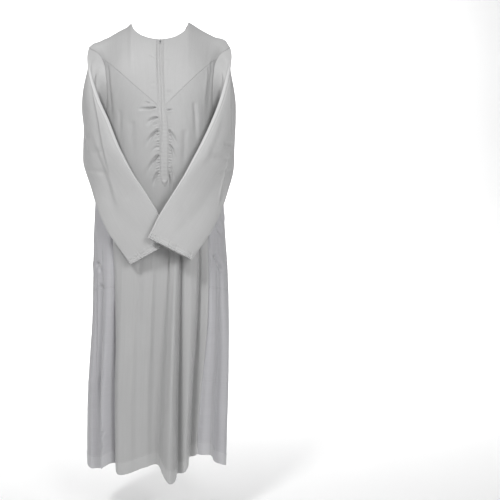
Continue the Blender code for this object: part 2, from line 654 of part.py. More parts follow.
def make_back(material):
    """Back panel from the neck and shoulders to the hem."""

    def place(column, row):
        angle = np.pi - column * (np.pi - seam_angle("back", row) - EDGE_TURN)
        top = neck_level(angle, BACK_TOP, "back")
        upper = UNDERARM_Z + (top - UNDERARM_Z) * (1.0 - row / UNDERARM_Z)
        return angle, np.where(row > UNDERARM_Z, upper, row)

    neck = neck_shares(np.linspace(0.0, 90.0, NAPE_LINES))
    half = np.concatenate([neck, np.linspace(neck[-1], 1.0, NAPE_LINES)[1:]])
    columns = np.concatenate([-half[:0:-1], half])
    rows = np.concatenate([SKIRT_ROWS[:-1], UNDERARM_Z * (1.0 - rising_rows(BACK_LINES))])
    return panel("back", place, columns, rows, material)


def mouth(level):
    """How far a pocket mouth parts the side seam at a level."""
    share = (POCKET_TOP_Z - level) / (POCKET_TOP_Z - POCKET_END_Z)
    return POCKET_GAPE * np.sin(np.pi * np.clip(share, 0.0, 1.0))


def make_gore(name, side, first, last, material):
    """Side gore between two lengthwise seams, from the underarm to the hem."""

    def place(column, row):
        half_width = along(SECTIONS, "half_width", row)
        gape = [mouth(row) if seam == "side" else 0.0 for seam in (first, last)]
        start = seam_angle(first, row) + (0.5 * SEAM_GAP + gape[0]) / half_width * GORE_STRETCH
        end = seam_angle(last, row) - (0.5 * SEAM_GAP + gape[1]) / half_width * GORE_STRETCH
        return side * (start + (end - start) * column), row

    rows = np.append(SKIRT_ROWS[:-1], UNDERARM_Z - SEAM_GAP)
    return panel(name, place, np.linspace(0.0, 1.0, GORE_LINES), rows, material)


def make_fly(material):
    """Strip that covers the front opening, laid on the panels beneath it."""

    def place(column, row):
        middle = np.zeros(np.shape(row))
        seam, top = yoke_level(middle), neck_level(middle, FRONT_TOP, "front")
        level = np.where(row > 0, seam + (top - seam) * row, row)
        z = body(np.zeros(np.shape(level)), level)[:, 2]
        half_width = along(FLY, "half_width", z)
        return column * half_width / reach(level), level

    top = np.linspace(0.0, FLY_TOP_SHARE, FLY_TOP_LINES)[1:]
    rows = np.concatenate([np.linspace(FLY_END_Z, YOKE_POINT_Z - FLY_STEP, FLY_LOW_LINES), top])
    columns = [-1.0, -0.5, 0.0, 0.5, 1.0]
    return panel("fly", place, columns, rows, material, wall=FLY_WALL, raised=FLY_GAP)


def make_pocket(name, side, material):
    """Pocket bag that hangs inside the side seam behind its mouth."""

    def place(column, row):
        start = seam_angle("side", row) - BAG_START
        return side * (start + BAG_TURN * column), row

    rows = np.linspace(BAG_END_Z, POCKET_TOP_Z + BAG_RISE, BAG_ROWS)
    places, triangles = grid(np.linspace(0.0, 1.0, BAG_LINES), rows)
    angle, level = place(places[:, 0], places[:, 1])
    normal = normals_of(body, angle, level, HEM_Z, 0.0)
    outer = body(angle, level) - normal * BAG_INSET
    return cloth(name, outer, outer - normal * BAG_WALL, triangles, material)


def armhole_loop(share):
    """Point on the +X armhole for a share of a full turn: 0 is the shoulder tip, then down the back
    edge, under the arm and up the front edge."""
    levels = UNDERARM_Z * (1.0 - rising_rows(ARMHOLE_POINTS))
    behind = body(np.pi - ARMHOLE_ANGLE, levels)[::-1]
    before = body(ARMHOLE_ANGLE, levels)
    below = body(np.linspace(np.pi - ARMHOLE_ANGLE, ARMHOLE_ANGLE, UNDERARM_POINTS), UNDERARM_Z)
    behind[0] = before[-1] = 0.5 * (behind[0] + before[-1])
    found = np.zeros((len(share), 3))
    for start, end, line in zip(LOOP_SHARES[:-1], LOOP_SHARES[1:], [behind, below, before]):
        mine = (share >= start) & (share <= end)
        length = np.concatenate([[0.0], np.cumsum(np.linalg.norm(np.diff(line, axis=0), axis=1))])
        wanted = (share[mine] - start) / (end - start) * length[-1]
        found[mine] = np.stack([np.interp(wanted, length, line[:, axis]) for axis in range(3)], -1)
    return found + np.array([ARMHOLE_GAP + WALL, 0.0, -WALL])


def furrow_dip(furrows, turn, t):
    """How deep the lengthwise folds of a sleeve sink at a place."""
    total = np.zeros(np.shape(turn))
    for furrow in furrows:
        share = (t - furrow.t0) / (furrow.t1 - furrow.t0)
        centre = np.radians(furrow.turn0 + (furrow.turn1 - furrow.turn0) * np.clip(share, 0.0, 1.0))
        away = turn_between(turn, centre) / np.radians(furrow.reach)
        total = total + furrow.depth * ease(4.0 * share) * ease(3.0 * (1.0 - share)) * np.exp(-(away**2))
    return total


def sleeve_surface(rings, furrows):
    """Outer surface of the +X sleeve: a function of the turn round the arm and the way down it."""

    def edge_points(t):
        crease = np.stack([along(rings, "crease_" + axis, t) for axis in "xyz"], -1)
        seam = np.stack([along(rings, "seam_" + axis, t) for axis in "xyz"], -1)
        return crease, seam

    def ring(turn, t):
        crease, seam = edge_points(t)
        ahead = edge_points(np.minimum(t + RUN_STEP, 1.0))
        behind = edge_points(np.maximum(t - RUN_STEP, 0.0))
        run = sum(ahead) - sum(behind)
        facing = np.cross(run, seam - crease)
        facing /= np.linalg.norm(facing, axis=-1, keepdims=True)
        side = np.sin(turn)
        full = np.where(side >= 0, along(rings, "swell", t), -along(rings, "tuck", t))
        bulk = FOLD_BULK + HEAD_BULK * (1.0 - ease(t / HEAD_BULK_END))
        full = full * np.abs(side) ** FLANK_POWER + bulk * np.sign(side) * np.sqrt(np.abs(side))
        full = full - np.sign(side) * furrow_dip(furrows, turn, t) * ease(3.0 * np.abs(side))
        share = 0.5 * (1.0 - np.cos(turn))
        drawn = np.stack([along(ARMPIT, axis, t) for axis in "xyz"], -1)
        drawn = drawn * (np.minimum(side, 0.0) ** 2)[..., None]
        return crease + (seam - crease) * share[..., None] + facing * full[..., None] + drawn

    def surface(turn, t):
        turn, t = np.broadcast_arrays(np.asarray(turn, float), np.asarray(t, float))
        head = 1.0 - ease(t / SLEEVE_HEAD)
        lap = np.mod(turn, 2.0 * np.pi) / (2.0 * np.pi)
        missing = armhole_loop(lap) - ring(turn, np.zeros(t.shape))
        return ring(turn, t) + missing * head[..., None]

    return surface


def make_sleeve(name, rings, furrows, side, material):
    """Open tube from the armhole over the bent arm to the cuff."""
    surface = sleeve_surface(rings, furrows)
    parts = zip(LOOP_SHARES[:-1], LOOP_SHARES[1:], SLEEVE_COLUMNS)
    turns = list(2.0 * np.pi * np.concatenate([np.linspace(a, b, n, endpoint=False) for a, b, n in parts]))
    rows = list(np.linspace(0.0, 1.0, SLEEVE_ROWS) ** ROW_POWER)
    places, triangles = grid(turns, rows, closed=True)
    outer = surface(places[:, 0], places[:, 1])
    inner = outer + mesh_normals(outer, triangles) * WALL
    mirror = np.array([side, 1.0, 1.0])
    return cloth(name, outer * mirror, inner * mirror, triangles, material)


def main():
    """Builds every piece of the robe."""
    for old in list(bpy.data.objects):
        bpy.data.objects.remove(old)
    main_cloth = fabric("main_cloth", MAIN_COLOUR, MAIN_ROUGHNESS)
    yoke_cloth = fabric("yoke_cloth", YOKE_COLOUR, YOKE_ROUGHNESS)
    lining = fabric("pocket_cloth", LINING_COLOUR, LINING_ROUGHNESS)
    make_front(main_cloth)
    make_yoke("yoke_left", 1.0, yoke_cloth)
    make_yoke("yoke_right", -1.0, yoke_cloth)
    make_back(main_cloth)
    for word, side in (("left", 1.0), ("right", -1.0)):
        make_gore(f"gore_front_{word}", side, "front", "side", main_cloth)
        make_gore(f"gore_back_{word}", side, "side", "back", main_cloth)
        make_pocket(f"pocket_{word}", side, lining)
    make_sleeve("sleeve_left", LEFT_SLEEVE, LEFT_FURROWS, 1.0, main_cloth)
    make_sleeve("sleeve_right", RIGHT_SLEEVE, RIGHT_FURROWS, -1.0, main_cloth)
    make_fly(yoke_cloth)


main()
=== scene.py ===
"""Worn look of a collarless ankle-length robe: its cloth, creases, gathers, hems and stitching.

Metres, +Z up. The wearer faces -Y and +X is the wearer's left. Every cut piece of cloth is a thin
shell that lies on the outer face of its solid, and rows of thread, the covered zip and the pocket
stitching are added to it.
"""

import logging
import math
from dataclasses import dataclass, field
from enum import Enum
from typing import Callable, NamedTuple, Sequence

import bpy
import numpy as np
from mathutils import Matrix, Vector


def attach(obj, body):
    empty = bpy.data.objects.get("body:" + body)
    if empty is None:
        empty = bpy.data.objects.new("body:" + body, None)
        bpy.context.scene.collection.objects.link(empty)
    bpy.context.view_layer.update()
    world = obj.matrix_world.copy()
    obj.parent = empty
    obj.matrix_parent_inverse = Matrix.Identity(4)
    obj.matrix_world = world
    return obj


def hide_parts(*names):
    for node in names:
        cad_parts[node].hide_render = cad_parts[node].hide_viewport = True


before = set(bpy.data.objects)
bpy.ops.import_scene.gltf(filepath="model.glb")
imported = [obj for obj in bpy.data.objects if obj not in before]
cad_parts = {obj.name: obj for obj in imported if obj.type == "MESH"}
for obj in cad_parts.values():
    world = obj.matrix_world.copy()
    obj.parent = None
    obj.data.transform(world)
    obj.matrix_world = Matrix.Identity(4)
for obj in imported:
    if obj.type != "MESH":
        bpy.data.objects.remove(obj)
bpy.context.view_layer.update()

log = logging.getLogger("robe")
Array = np.ndarray
ROOT = "root"
TURN = 2.0 * math.pi
TINY = 1e-12
# Grid lines beside a rolled edge and up a hem, as distances from the edge.
EDGE_LINES = (0.0006, 0.0013, 0.0022, 0.0034)
HEM_LINES = (0.0, 0.0008, 0.002, 0.006, 0.015, 0.026, 0.036, 0.0405, 0.0435, 0.047)
SKIRT_START = 0.056
# Lips on both sides of a drawn fold: their height against its depth, and their spread.
LIP_HEIGHT = 0.4
LIP_SPREAD = 2.4
# How fast a drawn fold sets in and fades, and the number of places on its curve that are tried.
FOLD_RISE = 6.0
FOLD_FADE = 1.8
FOLD_STEPS = 33
# How fast a trough sets in and fades, and how much of it is there at its start.
TROUGH_RISE = 4.0
TROUGH_FADE = 2.0
TROUGH_START = 0.4


class Section(NamedTuple):
    """Ring of the body at one level."""

    z: float
    half_width: float
    front_depth: float
    back_depth: float
    lean: float


class Knot(NamedTuple):
    """One place of a smooth curve and the curve's value there."""

    at: float
    value: float


class SeamLine(NamedTuple):
    """Angles of the lengthwise seams at one level, in degrees from the centre front."""

    z: float
    front: float
    side: float
    back: float


class Armhole(NamedTuple):
    """Half width of the front and of the back at a share of the way up the armhole."""

    rise: float
    front: float
    back: float


class Top(NamedTuple):
    """How one half of the top is shaped."""

    neck_drop: float
    fullness: float
    squareness: float


class Shoulder(NamedTuple):
    """How much higher than a straight line each shoulder lies, from neck point to tip."""

    out: float
    right: float
    left: float


class Fold(NamedTuple):
    """Lengthwise fold of the skirt: angles in degrees, swell in metres, reaches in degrees."""

    top_angle: float
    hem_angle: float
    start_z: float
    swell: float
    low_side: float
    high_side: float


class Crease(NamedTuple):
    """Soft trough between two places.

    A place is x and z on the back, or a turn in degrees and a share of the length on a sleeve.
    """

    u0: float
    v0: float
    u1: float
    v1: float
    depth: float
    reach: float


class Pull(NamedTuple):
    """Curved crease: start, middle and end places, depth, and reach at the root and the end."""

    x0: float
    z0: float
    xm: float
    zm: float
    x1: float
    z1: float
    depth: float
    root: float
    end: float


class Swing(NamedTuple):
    """Value that differs from one repeated thing to the next."""

    middle: float
    spread: float
    rate: float
    start: float = 0.0

    def at(self, count: int) -> float:
        """Value of one of the things."""
        return self.middle + self.spread * math.sin(self.rate * count + self.start)


class Ring(NamedTuple):
    """Cross-section of a sleeve: its front crease, its back edge and its fullness both ways."""

    t: float
    crease_x: float
    crease_y: float
    crease_z: float
    seam_x: float
    seam_y: float
    seam_z: float
    swell: float
    tuck: float


class Draw(NamedTuple):
    """How far the inner half of a sleeve is drawn towards the chest."""

    t: float
    x: float
    y: float
    z: float


class Furrow(NamedTuple):
    """Lengthwise fold of a sleeve: turns in degrees, shares of its length, depth and reaches."""

    turn0: float
    turn1: float
    t0: float
    t1: float
    depth: float
    low_side: float
    high_side: float


class Ripple(NamedTuple):
    """Fine wave along an edge, whose pitch wanders."""

    pitch: float
    slant: float
    wander: float
    wander_rate: float

    def at(self, run: Array, away: Array, shift: Array | float = 0.0) -> Array:
        """Height from -1 to 1 at distances along the edge and away from it."""
        wander = self.wander * np.sin(run * self.wander_rate)
        return np.sin(run * TURN / self.pitch + wander + self.slant * away + shift)


class Side(Enum):
    """Side of the wearer, as the sign of x."""

    LEFT = 1.0
    RIGHT = -1.0

    @property
    def word(self) -> str:
        """The side's word in the names of pieces."""
        return self.name.lower()


class Half(Enum):
    """Half of the body, as its column of the armhole table."""

    FRONT = "front"
    BACK = "back"


class Seam(Enum):
    """Lengthwise seam, as its column of the seam table."""

    FRONT = "front"
    SIDE = "side"
    BACK = "back"


class Edge(Enum):
    """Edge of a cut piece's grid: the axis that leaves it, and whether it is the far end."""

    LOW = (0, False)
    TOP = (0, True)
    FIRST = (1, False)
    LAST = (1, True)


class Grain(Enum):
    """Which way the warp threads of a piece run."""

    DOWN = "down"
    ACROSS = "across"


SECTIONS = (
    Section(-0.300, 0.178, 0.116, 0.106, 0.000),
    Section(-0.420, 0.185, 0.108, 0.098, 0.000),
    Section(-0.545, 0.205, 0.098, 0.092, 0.000),
    Section(-0.650, 0.211, 0.103, 0.094, 0.000),
    Section(-0.800, 0.218, 0.110, 0.106, 0.004),
    Section(-0.950, 0.222, 0.118, 0.116, 0.003),
    Section(-1.150, 0.226, 0.128, 0.130, -0.005),
    Section(-1.420, 0.227, 0.138, 0.146, -0.010),
)
# Sideways place of the front's centre line, by height.
CENTRE_DRIFT = (
    Knot(0.00, 0.0030), Knot(-0.20, 0.0030), Knot(-0.26, 0.0060), Knot(-0.31, 0.0115),
    Knot(-0.36, 0.0138), Knot(-0.46, 0.0142), Knot(-0.51, 0.0160), Knot(-1.00, 0.0000),
)
SEAM_LINES = (
    SeamLine(-0.300, 72.0, 90.0, 108.0),
    SeamLine(-0.450, 58.0, 88.0, 117.0),
    SeamLine(-0.650, 46.5, 86.0, 127.0),
    SeamLine(-0.950, 43.0, 80.0, 133.0),
    SeamLine(-1.420, 39.0, 74.0, 139.0),
)
ARMHOLE = (
    Armhole(0.00, 0.1693, 0.1693),
    Armhole(0.30, 0.1640, 0.1680),
    Armhole(0.60, 0.1670, 0.1730),
    Armhole(0.78, 0.1750, 0.1820),
    Armhole(0.90, 0.1930, 0.1980),
    Armhole(1.00, 0.2220, 0.2220),
)
SHOULDERS = (
    Shoulder(0.00, 0.0020, 0.0060), Shoulder(0.10, -0.0030, 0.0050),
    Shoulder(0.20, -0.0030, 0.0040), Shoulder(0.35, -0.0030, 0.0030),
    Shoulder(0.55, -0.0035, 0.0040), Shoulder(0.65, -0.0020, 0.0050),
    Shoulder(0.75, -0.0010, 0.0090), Shoulder(0.82, 0.0010, 0.0120),
    Shoulder(0.91, 0.0030, 0.0110), Shoulder(1.00, 0.0000, 0.0000),
)
FOLDS = (
    Fold(-46.0, -39.5, -0.48, -0.022, 6.0, 4.5),
    Fold(-36.0, -30.5, -0.50, 0.010, 5.0, 12.0),
    Fold(2.0, 0.5, -0.42, -0.030, 16.0, 3.0),
    Fold(9.5, 9.6, -0.52, 0.038, 5.2, 6.0),
    Fold(14.0, 18.6, -0.44, -0.017, 3.0, 3.4),
    Fold(24.0, 24.0, -0.50, 0.008, 4.0, 5.0),
    Fold(37.0, 33.5, -0.46, -0.034, 6.5, 7.5),
    Fold(61.0, 65.0, -0.55, -0.022, 9.0, 6.5),
    Fold(80.0, 74.0, -0.60, 0.010, 7.0, 8.0),
    Fold(106.0, 103.0, -0.62, -0.020, 8.0, 9.0),
    Fold(128.0, 124.0, -0.50, 0.016, 8.0, 9.0),
    Fold(146.0, 147.0, -0.48, -0.024, 8.0, 8.0),
    Fold(172.0, 169.0, -0.45, 0.018, 9.0, 9.0),
    Fold(196.0, 193.0, -0.48, -0.022, 8.0, 8.0),
    Fold(219.0, 216.0, -0.50, 0.016, 8.0, 9.0),
    Fold(243.0, 239.0, -0.60, -0.022, 8.0, 9.0),
    Fold(276.0, 278.0, -0.60, 0.003, 9.0, 7.0),
    Fold(297.0, 300.0, -0.62, -0.022, 7.0, 6.0),
    Fold(309.0, 311.0, -0.60, 0.008, 5.0, 5.0),
)
# Narrow lines at the bottom of the folds, too fine for the solids.
FINE_FOLDS = (
    Fold(-47.6, -39.0, -0.50, -0.011, 1.4, 1.0),
    Fold(-20.0, -17.0, -0.62, -0.005, 3.0, 5.0),
    Fold(-9.0, -7.5, -0.62, 0.004, 3.5, 3.0),
    Fold(4.6, 3.4, -0.50, -0.013, 2.8, 0.8),
    Fold(13.6, 17.6, -0.48, -0.013, 0.9, 2.4),
    Fold(36.0, 33.0, -0.48, -0.012, 3.4, 2.0),
    Fold(47.6, 39.0, -0.50, -0.006, 1.2, 1.4),
    Fold(56.0, 54.0, -0.60, -0.006, 2.4, 3.4),
    Fold(-60.0, -56.0, -0.62, -0.006, 3.0, 2.4),
    Fold(-72.0, -66.0, -0.66, -0.007, 3.4, 2.6),
    Fold(152.0, 153.0, -0.50, -0.006, 2.6, 3.4),
    Fold(205.0, 202.0, -0.52, -0.006, 3.4, 2.6),
)
# How far the hem is drawn up, by angle in degrees from the centre front.
HEM_LIFTS = (
    Knot(-180, 0.004), Knot(-90, 0.000), Knot(-72, -0.008), Knot(-52, 0.006), Knot(-41, 0.026),
    Knot(-33, 0.006), Knot(-20, 0.012), Knot(-8, 0.026), Knot(2, 0.026), Knot(8, -0.004),
    Knot(18, 0.000), Knot(28, 0.028), Knot(40, 0.055), Knot(52, 0.050), Knot(66, 0.014),
    Knot(80, -0.004), Knot(120, 0.008), Knot(180, 0.004),
)
# Heights of the small tucks beside the fly, on the wearer's right and left of it.
GATHERS_RIGHT = (
    -0.3322, -0.3419, -0.3494, -0.3581, -0.3678, -0.3776, -0.3871, -0.3992,
    -0.4070, -0.4153, -0.4262, -0.4348, -0.4426, -0.4502, -0.4588, -0.4680,
)
GATHERS_LEFT = (
    -0.3518, -0.3625, -0.3742, -0.3868, -0.3965, -0.4066, -0.4171, -0.4262,
    -0.4359, -0.4502, -0.4620,
)
# Drag folds that the fly draws into the front.
FRONT_PULLS = (
    Pull(-0.0030, -0.3008, -0.0228, -0.3038, -0.0411, -0.3264, 0.0035, 0.0028, 0.0060),
    Pull(-0.0060, -0.3158, -0.0137, -0.3191, -0.0244, -0.3209, 0.0016, 0.0022, 0.0030),
    Pull(-0.0009, -0.3423, -0.0183, -0.3475, -0.0483, -0.3974, 0.0046, 0.0022, 0.0065),
    Pull(-0.0021, -0.3877, -0.0137, -0.3898, -0.0290, -0.4110, 0.0016, 0.0025, 0.0050),
    Pull(0.0003, -0.4159, -0.0153, -0.4262, -0.0485, -0.4871, 0.0046, 0.0026, 0.0075),
    Pull(-0.0040, -0.4627, -0.0138, -0.4841, -0.0200, -0.5177, 0.0030, 0.0030, 0.0060),
    Pull(0.0253, -0.3354, 0.0381, -0.3505, 0.0611, -0.3928, 0.0038, 0.0022, 0.0060),
    Pull(0.0275, -0.3786, 0.0397, -0.3958, 0.0480, -0.4353, 0.0038, 0.0022, 0.0045),
    Pull(0.0266, -0.4536, 0.0328, -0.4871, 0.0378, -0.5300, 0.0045, 0.0020, 0.0032),
    Pull(0.0364, -0.4460, 0.0414, -0.4688, 0.0439, -0.4932, 0.0020, 0.0020, 0.0035),
    Pull(0.0216, -0.2762, 0.0319, -0.2759, 0.0410, -0.2753, 0.0022, 0.0028, 0.0028),
    Pull(0.0215, -0.2206, 0.0318, -0.2214, 0.0430, -0.2253, 0.0018, 0.0025, 0.0025),
    Pull(0.0194, -0.2346, 0.0258, -0.2352, 0.0318, -0.2355, 0.0010, 0.0018, 0.0018),
    Pull(0.0149, -0.1225, 0.0259, -0.1207, 0.0389, -0.1198, 0.0013, 0.0020, 0.0022),
    Pull(-0.0088, -0.1186, -0.0228, -0.1117, -0.0350, -0.1052, 0.0013, 0.0020, 0.0022),
    Pull(-0.0045, -0.1925, -0.0197, -0.1946, -0.0333, -0.2006, 0.0013, 0.0022, 0.0024),
    Pull(-0.0088, -0.2122, -0.0197, -0.2134, -0.0327, -0.2185, 0.0008, 0.0020, 0.0022),
    Pull(-0.0121, -0.2678, -0.0349, -0.2711, -0.0744, -0.2729, 0.0035, 0.0022, 0.0050),
    Pull(-0.0307, -0.2552, -0.0379, -0.2531, -0.0440, -0.2513, 0.0016, 0.0022, 0.0024),
)
# Soft folds of the front that start at the armholes and on the gores.
FRONT_FALLS = (
    Pull(0.1599, -0.1220, 0.1582, -0.1796, 0.1432, -0.3081, 0.0046, 0.0034, 0.0080),
    Pull(0.1500, -0.1380, 0.1492, -0.1900, 0.1400, -0.2700, 0.0022, 0.0026, 0.0050),
    Pull(0.1058, -0.2453, 0.1107, -0.3099, 0.1139, -0.3953, 0.0015, 0.0056, 0.0075),
    Pull(0.0777, -0.3254, 0.0764, -0.3958, 0.0751, -0.4627, 0.0012, 0.0080, 0.0080),
    Pull(-0.1622, -0.1311, -0.1565, -0.2040, -0.1433, -0.3235, 0.0034, 0.0050, 0.0060),
    Pull(-0.1228, -0.2674, -0.1215, -0.3190, -0.1218, -0.3800, 0.0010, 0.0060, 0.0060),
    Pull(-0.0836, -0.2993, -0.0824, -0.3656, -0.0811, -0.4505, 0.0015, 0.0120, 0.0120),
    Pull(-0.2019, -0.7473, -0.1956, -0.7609, -0.1827, -0.7862, 0.0068, 0.0052, 0.0060),
    Pull(-0.1987, -0.8176, -0.1866, -0.8248, -0.1706, -0.8167, 0.0056, 0.0048, 0.0050),
    Pull(-0.2010, -1.1052, -0.1979, -1.1980, -0.1965, -1.2646, 0.0057, 0.0060, 0.0070),
    Pull(-0.1904, -1.3048, -0.1838, -1.2948, -0.1722, -1.2747, 0.0057, 0.0040, 0.0050),
    Pull(-0.1940, -1.3553, -0.1874, -1.3418, -0.1758, -1.3183, 0.0057, 0.0040, 0.0050),
    Pull(-0.1949, -1.2580, -0.1905, -1.3183, -0.1944, -1.3991, 0.0052, 0.0050, 0.0050),
    Pull(0.1834, -0.6235, 0.1883, -0.6425, 0.2012, -0.6711, 0.0064, 0.0052, 0.0060),
    Pull(0.1714, -0.7189, 0.1795, -0.7317, 0.1956, -0.7605, 0.0060, 0.0052, 0.0060),
    Pull(0.1860, -0.7477, 0.1956, -0.7637, 0.2086, -0.7926, 0.0060, 0.0052, 0.0060),
    Pull(0.1974, -0.5950, 0.2039, -0.6203, 0.2106, -0.6552, 0.0040, 0.0040, 0.0045),
)
# Wrinkles of the back: drags from the shoulder blades to the underarms, and soft falls below.
BACK_CREASES = (
    Crease(0.120, -0.190, 0.156, -0.282, 0.0034, 0.0120),
    Crease(0.086, -0.224, 0.132, -0.330, 0.0026, 0.0130),
    Crease(-0.118, -0.184, -0.158, -0.276, 0.0030, 0.0120),
    Crease(-0.080, -0.236, -0.126, -0.344, 0.0026, 0.0130),
    Crease(-0.060, -0.052, 0.052, -0.058, 0.0016, 0.0090),
    Crease(0.030, -0.420, 0.110, -0.450, 0.0020, 0.0140),
    Crease(-0.036, -0.460, -0.124, -0.430, 0.0018, 0.0140),
    Crease(0.018, -0.520, 0.090, -0.560, 0.0016, 0.0130),
)
# Half width of the fly, by height.
FLY = (
    Knot(0.0, 0.0120), Knot(-0.44, 0.0122), Knot(-0.475, 0.0115),
    Knot(-0.495, 0.0085), Knot(-0.505, 0.0050),
)
LEFT_RINGS = (
    Ring(0.00, 0.2220, 0.004, -0.070, 0.178, 0.030, -0.300, 0.0015, 0.0015),
    Ring(0.06, 0.2250, -0.022, -0.104, 0.194, 0.035, -0.314, 0.0175, 0.0015),
    Ring(0.14, 0.2055, -0.054, -0.178, 0.212, 0.058, -0.338, 0.0265, 0.0015),
    Ring(0.22, 0.1850, -0.075, -0.245, 0.219, 0.056, -0.368, 0.0335, 0.0015),
    Ring(0.31, 0.1540, -0.102, -0.319, 0.226, 0.044, -0.405, 0.0365, -0.0005),
    Ring(0.40, 0.1220, -0.126, -0.384, 0.233, 0.012, -0.444, 0.0315, -0.0045),
    Ring(0.47, 0.0980, -0.140, -0.428, 0.230, -0.016, -0.476, 0.0235, -0.0075),
    Ring(0.54, 0.0760, -0.150, -0.4685, 0.219, -0.044, -0.509, 0.0175, -0.0045),
    Ring(0.66, 0.0375, -0.160, -0.530, 0.197, -0.082, -0.570, 0.0135, 0.0005),
    Ring(0.79, 0.0000, -0.164, -0.590, 0.162, -0.114, -0.640, 0.0125, 0.0060),
    Ring(0.90, -0.0190, -0.166, -0.628, 0.129, -0.134, -0.687, 0.0110, 0.0068),
    Ring(1.00, -0.0345, -0.168, -0.6600, 0.0976, -0.151, -0.7290, 0.0095, 0.0070),
)
RIGHT_RINGS = (
    Ring(0.00, 0.2220, 0.004, -0.070, 0.178, 0.030, -0.300, 0.0015, 0.0015),
    Ring(0.06, 0.2255, -0.022, -0.106, 0.194, 0.035, -0.314, 0.0175, 0.0015),
    Ring(0.14, 0.2110, -0.050, -0.168, 0.212, 0.058, -0.338, 0.0265, 0.0015),
    Ring(0.22, 0.1860, -0.072, -0.240, 0.219, 0.056, -0.368, 0.0335, 0.0015),
    Ring(0.31, 0.1560, -0.096, -0.305, 0.229, 0.044, -0.405, 0.0365, -0.0005),
    Ring(0.40, 0.1260, -0.114, -0.380, 0.237, 0.012, -0.440, 0.0315, -0.0045),
    Ring(0.47, 0.1060, -0.123, -0.420, 0.231, -0.014, -0.468, 0.0215, -0.0075),
    Ring(0.54, 0.0850, -0.129, -0.460, 0.217, -0.042, -0.505, 0.0135, -0.0045),
    Ring(0.66, 0.0500, -0.133, -0.513, 0.196, -0.078, -0.568, 0.0075, 0.0005),
    Ring(0.79, 0.0080, -0.135, -0.580, 0.162, -0.104, -0.643, 0.0070, 0.0050),
    Ring(0.90, -0.0180, -0.136, -0.626, 0.128, -0.116, -0.692, 0.0070, 0.0062),
    Ring(1.00, -0.0430, -0.137, -0.6700, 0.0887, -0.127, -0.7450, 0.0070, 0.0070),
)
ARMPIT = (
    Draw(0.00, -0.033, -0.069, -0.065), Draw(0.06, -0.014, -0.039, -0.031),
    Draw(0.14, -0.005, -0.044, -0.033), Draw(0.22, -0.001, -0.030, -0.018),
    Draw(0.31, 0.000, -0.012, -0.006), Draw(0.40, 0.000, 0.000, 0.000),
    Draw(1.00, 0.000, 0.000, 0.000),
)
LEFT_FURROWS = (
    Furrow(18.0, 118.0, 0.09, 0.39, 0.0070, 3.6, 13.0),
    Furrow(95.0, 146.0, 0.28, 0.68, 0.0080, 3.4, 14.0),
    Furrow(40.0, 66.0, 0.24, 0.52, 0.0022, 9.0, 12.0),
    Furrow(112.0, 84.0, 0.50, 0.94, 0.0018, 14.0, 18.0),
    Furrow(282.0, 300.0, -0.10, 0.26, 0.0060, 12.0, 12.0),
    Furrow(338.0, 330.0, -0.05, 0.27, 0.0066, 8.0, 8.0),
)
RIGHT_FURROWS = (
    Furrow(8.0, 92.0, 0.11, 0.57, 0.0052, 3.6, 14.0),
    Furrow(70.0, 112.0, 0.30, 0.74, 0.0040, 5.0, 14.0),
    Furrow(96.0, 104.0, 0.10, 0.44, 0.0040, 5.0, 12.0),
    Furrow(120.0, 92.0, 0.56, 0.95, 0.0018, 14.0, 18.0),
    Furrow(286.0, 304.0, -0.10, 0.25, 0.0060, 12.0, 12.0),
    Furrow(338.0, 330.0, -0.05, 0.27, 0.0070, 8.0, 8.0),
)
LEFT_DRAGS = (
    Crease(70.0, 0.36, 118.0, 0.31, 0.0022, 0.0090),
    Crease(64.0, 0.43, 128.0, 0.40, 0.0026, 0.0100),
    Crease(96.0, 0.49, 150.0, 0.44, 0.0022, 0.0090),
    Crease(58.0, 0.72, 96.0, 0.80, 0.0012, 0.0080),
    Crease(210.0, 0.36, 150.0, 0.42, 0.0024, 0.0090),
    Crease(214.0, 0.44, 156.0, 0.50, 0.0020, 0.0090),
)
RIGHT_DRAGS = (
    Crease(80.0, 0.33, 124.0, 0.29, 0.0020, 0.0090),
    Crease(60.0, 0.41, 116.0, 0.38, 0.0024, 0.0100),
    Crease(88.0, 0.51, 146.0, 0.45, 0.0024, 0.0090),
    Crease(44.0, 0.64, 84.0, 0.70, 0.0012, 0.0080),
    Crease(208.0, 0.35, 148.0, 0.41, 0.0022, 0.0090),
    Crease(212.0, 0.45, 158.0, 0.50, 0.0020, 0.0090),
)


def ease(t: Array | float) -> Array:
    """Smooth step from 0 to 1."""
    t = np.clip(t, 0.0, 1.0)
    return t * t * (3.0 - 2.0 * t)


def bell(t: Array | float) -> Array:
    """Smooth bump of height 1 at 0."""
    return np.exp(-(np.asarray(t) ** 2))


def along(table: Sequence[NamedTuple], column: str, where: Array | float) -> Array:
    """Smooth curve through one column of a table.

    Args:
        table: Rows, in order of their first column.
        column: Name of the column to read.
        where: Places along the first column.

    Returns:
        The column's value at each place.
    """
    knots = np.array([row[0] for row in table], float)
    values = np.array([getattr(row, column) for row in table], float)
    if knots[0] > knots[-1]:
        knots, values = knots[::-1], values[::-1]
    slopes = np.gradient(values, knots)
    slopes[[0, -1]] = 0.0
    where = np.clip(where, knots[0], knots[-1])
    i = np.clip(np.searchsorted(knots, where) - 1, 0, len(knots) - 2)
    span = knots[i + 1] - knots[i]
    t = (where - knots[i]) / span
    start = (2 * t**3 - 3 * t**2 + 1) * values[i] + (t**3 - 2 * t**2 + t) * span * slopes[i]
    end = (3 * t**2 - 2 * t**3) * values[i + 1] + (t**3 - t**2) * span * slopes[i + 1]
    return start + end


def turn_between(angle: Array, centre: Array | float) -> Array:
    """Signed difference of two angles, wrapped to half a turn either way."""
    return (angle - centre + math.pi) % TURN - math.pi


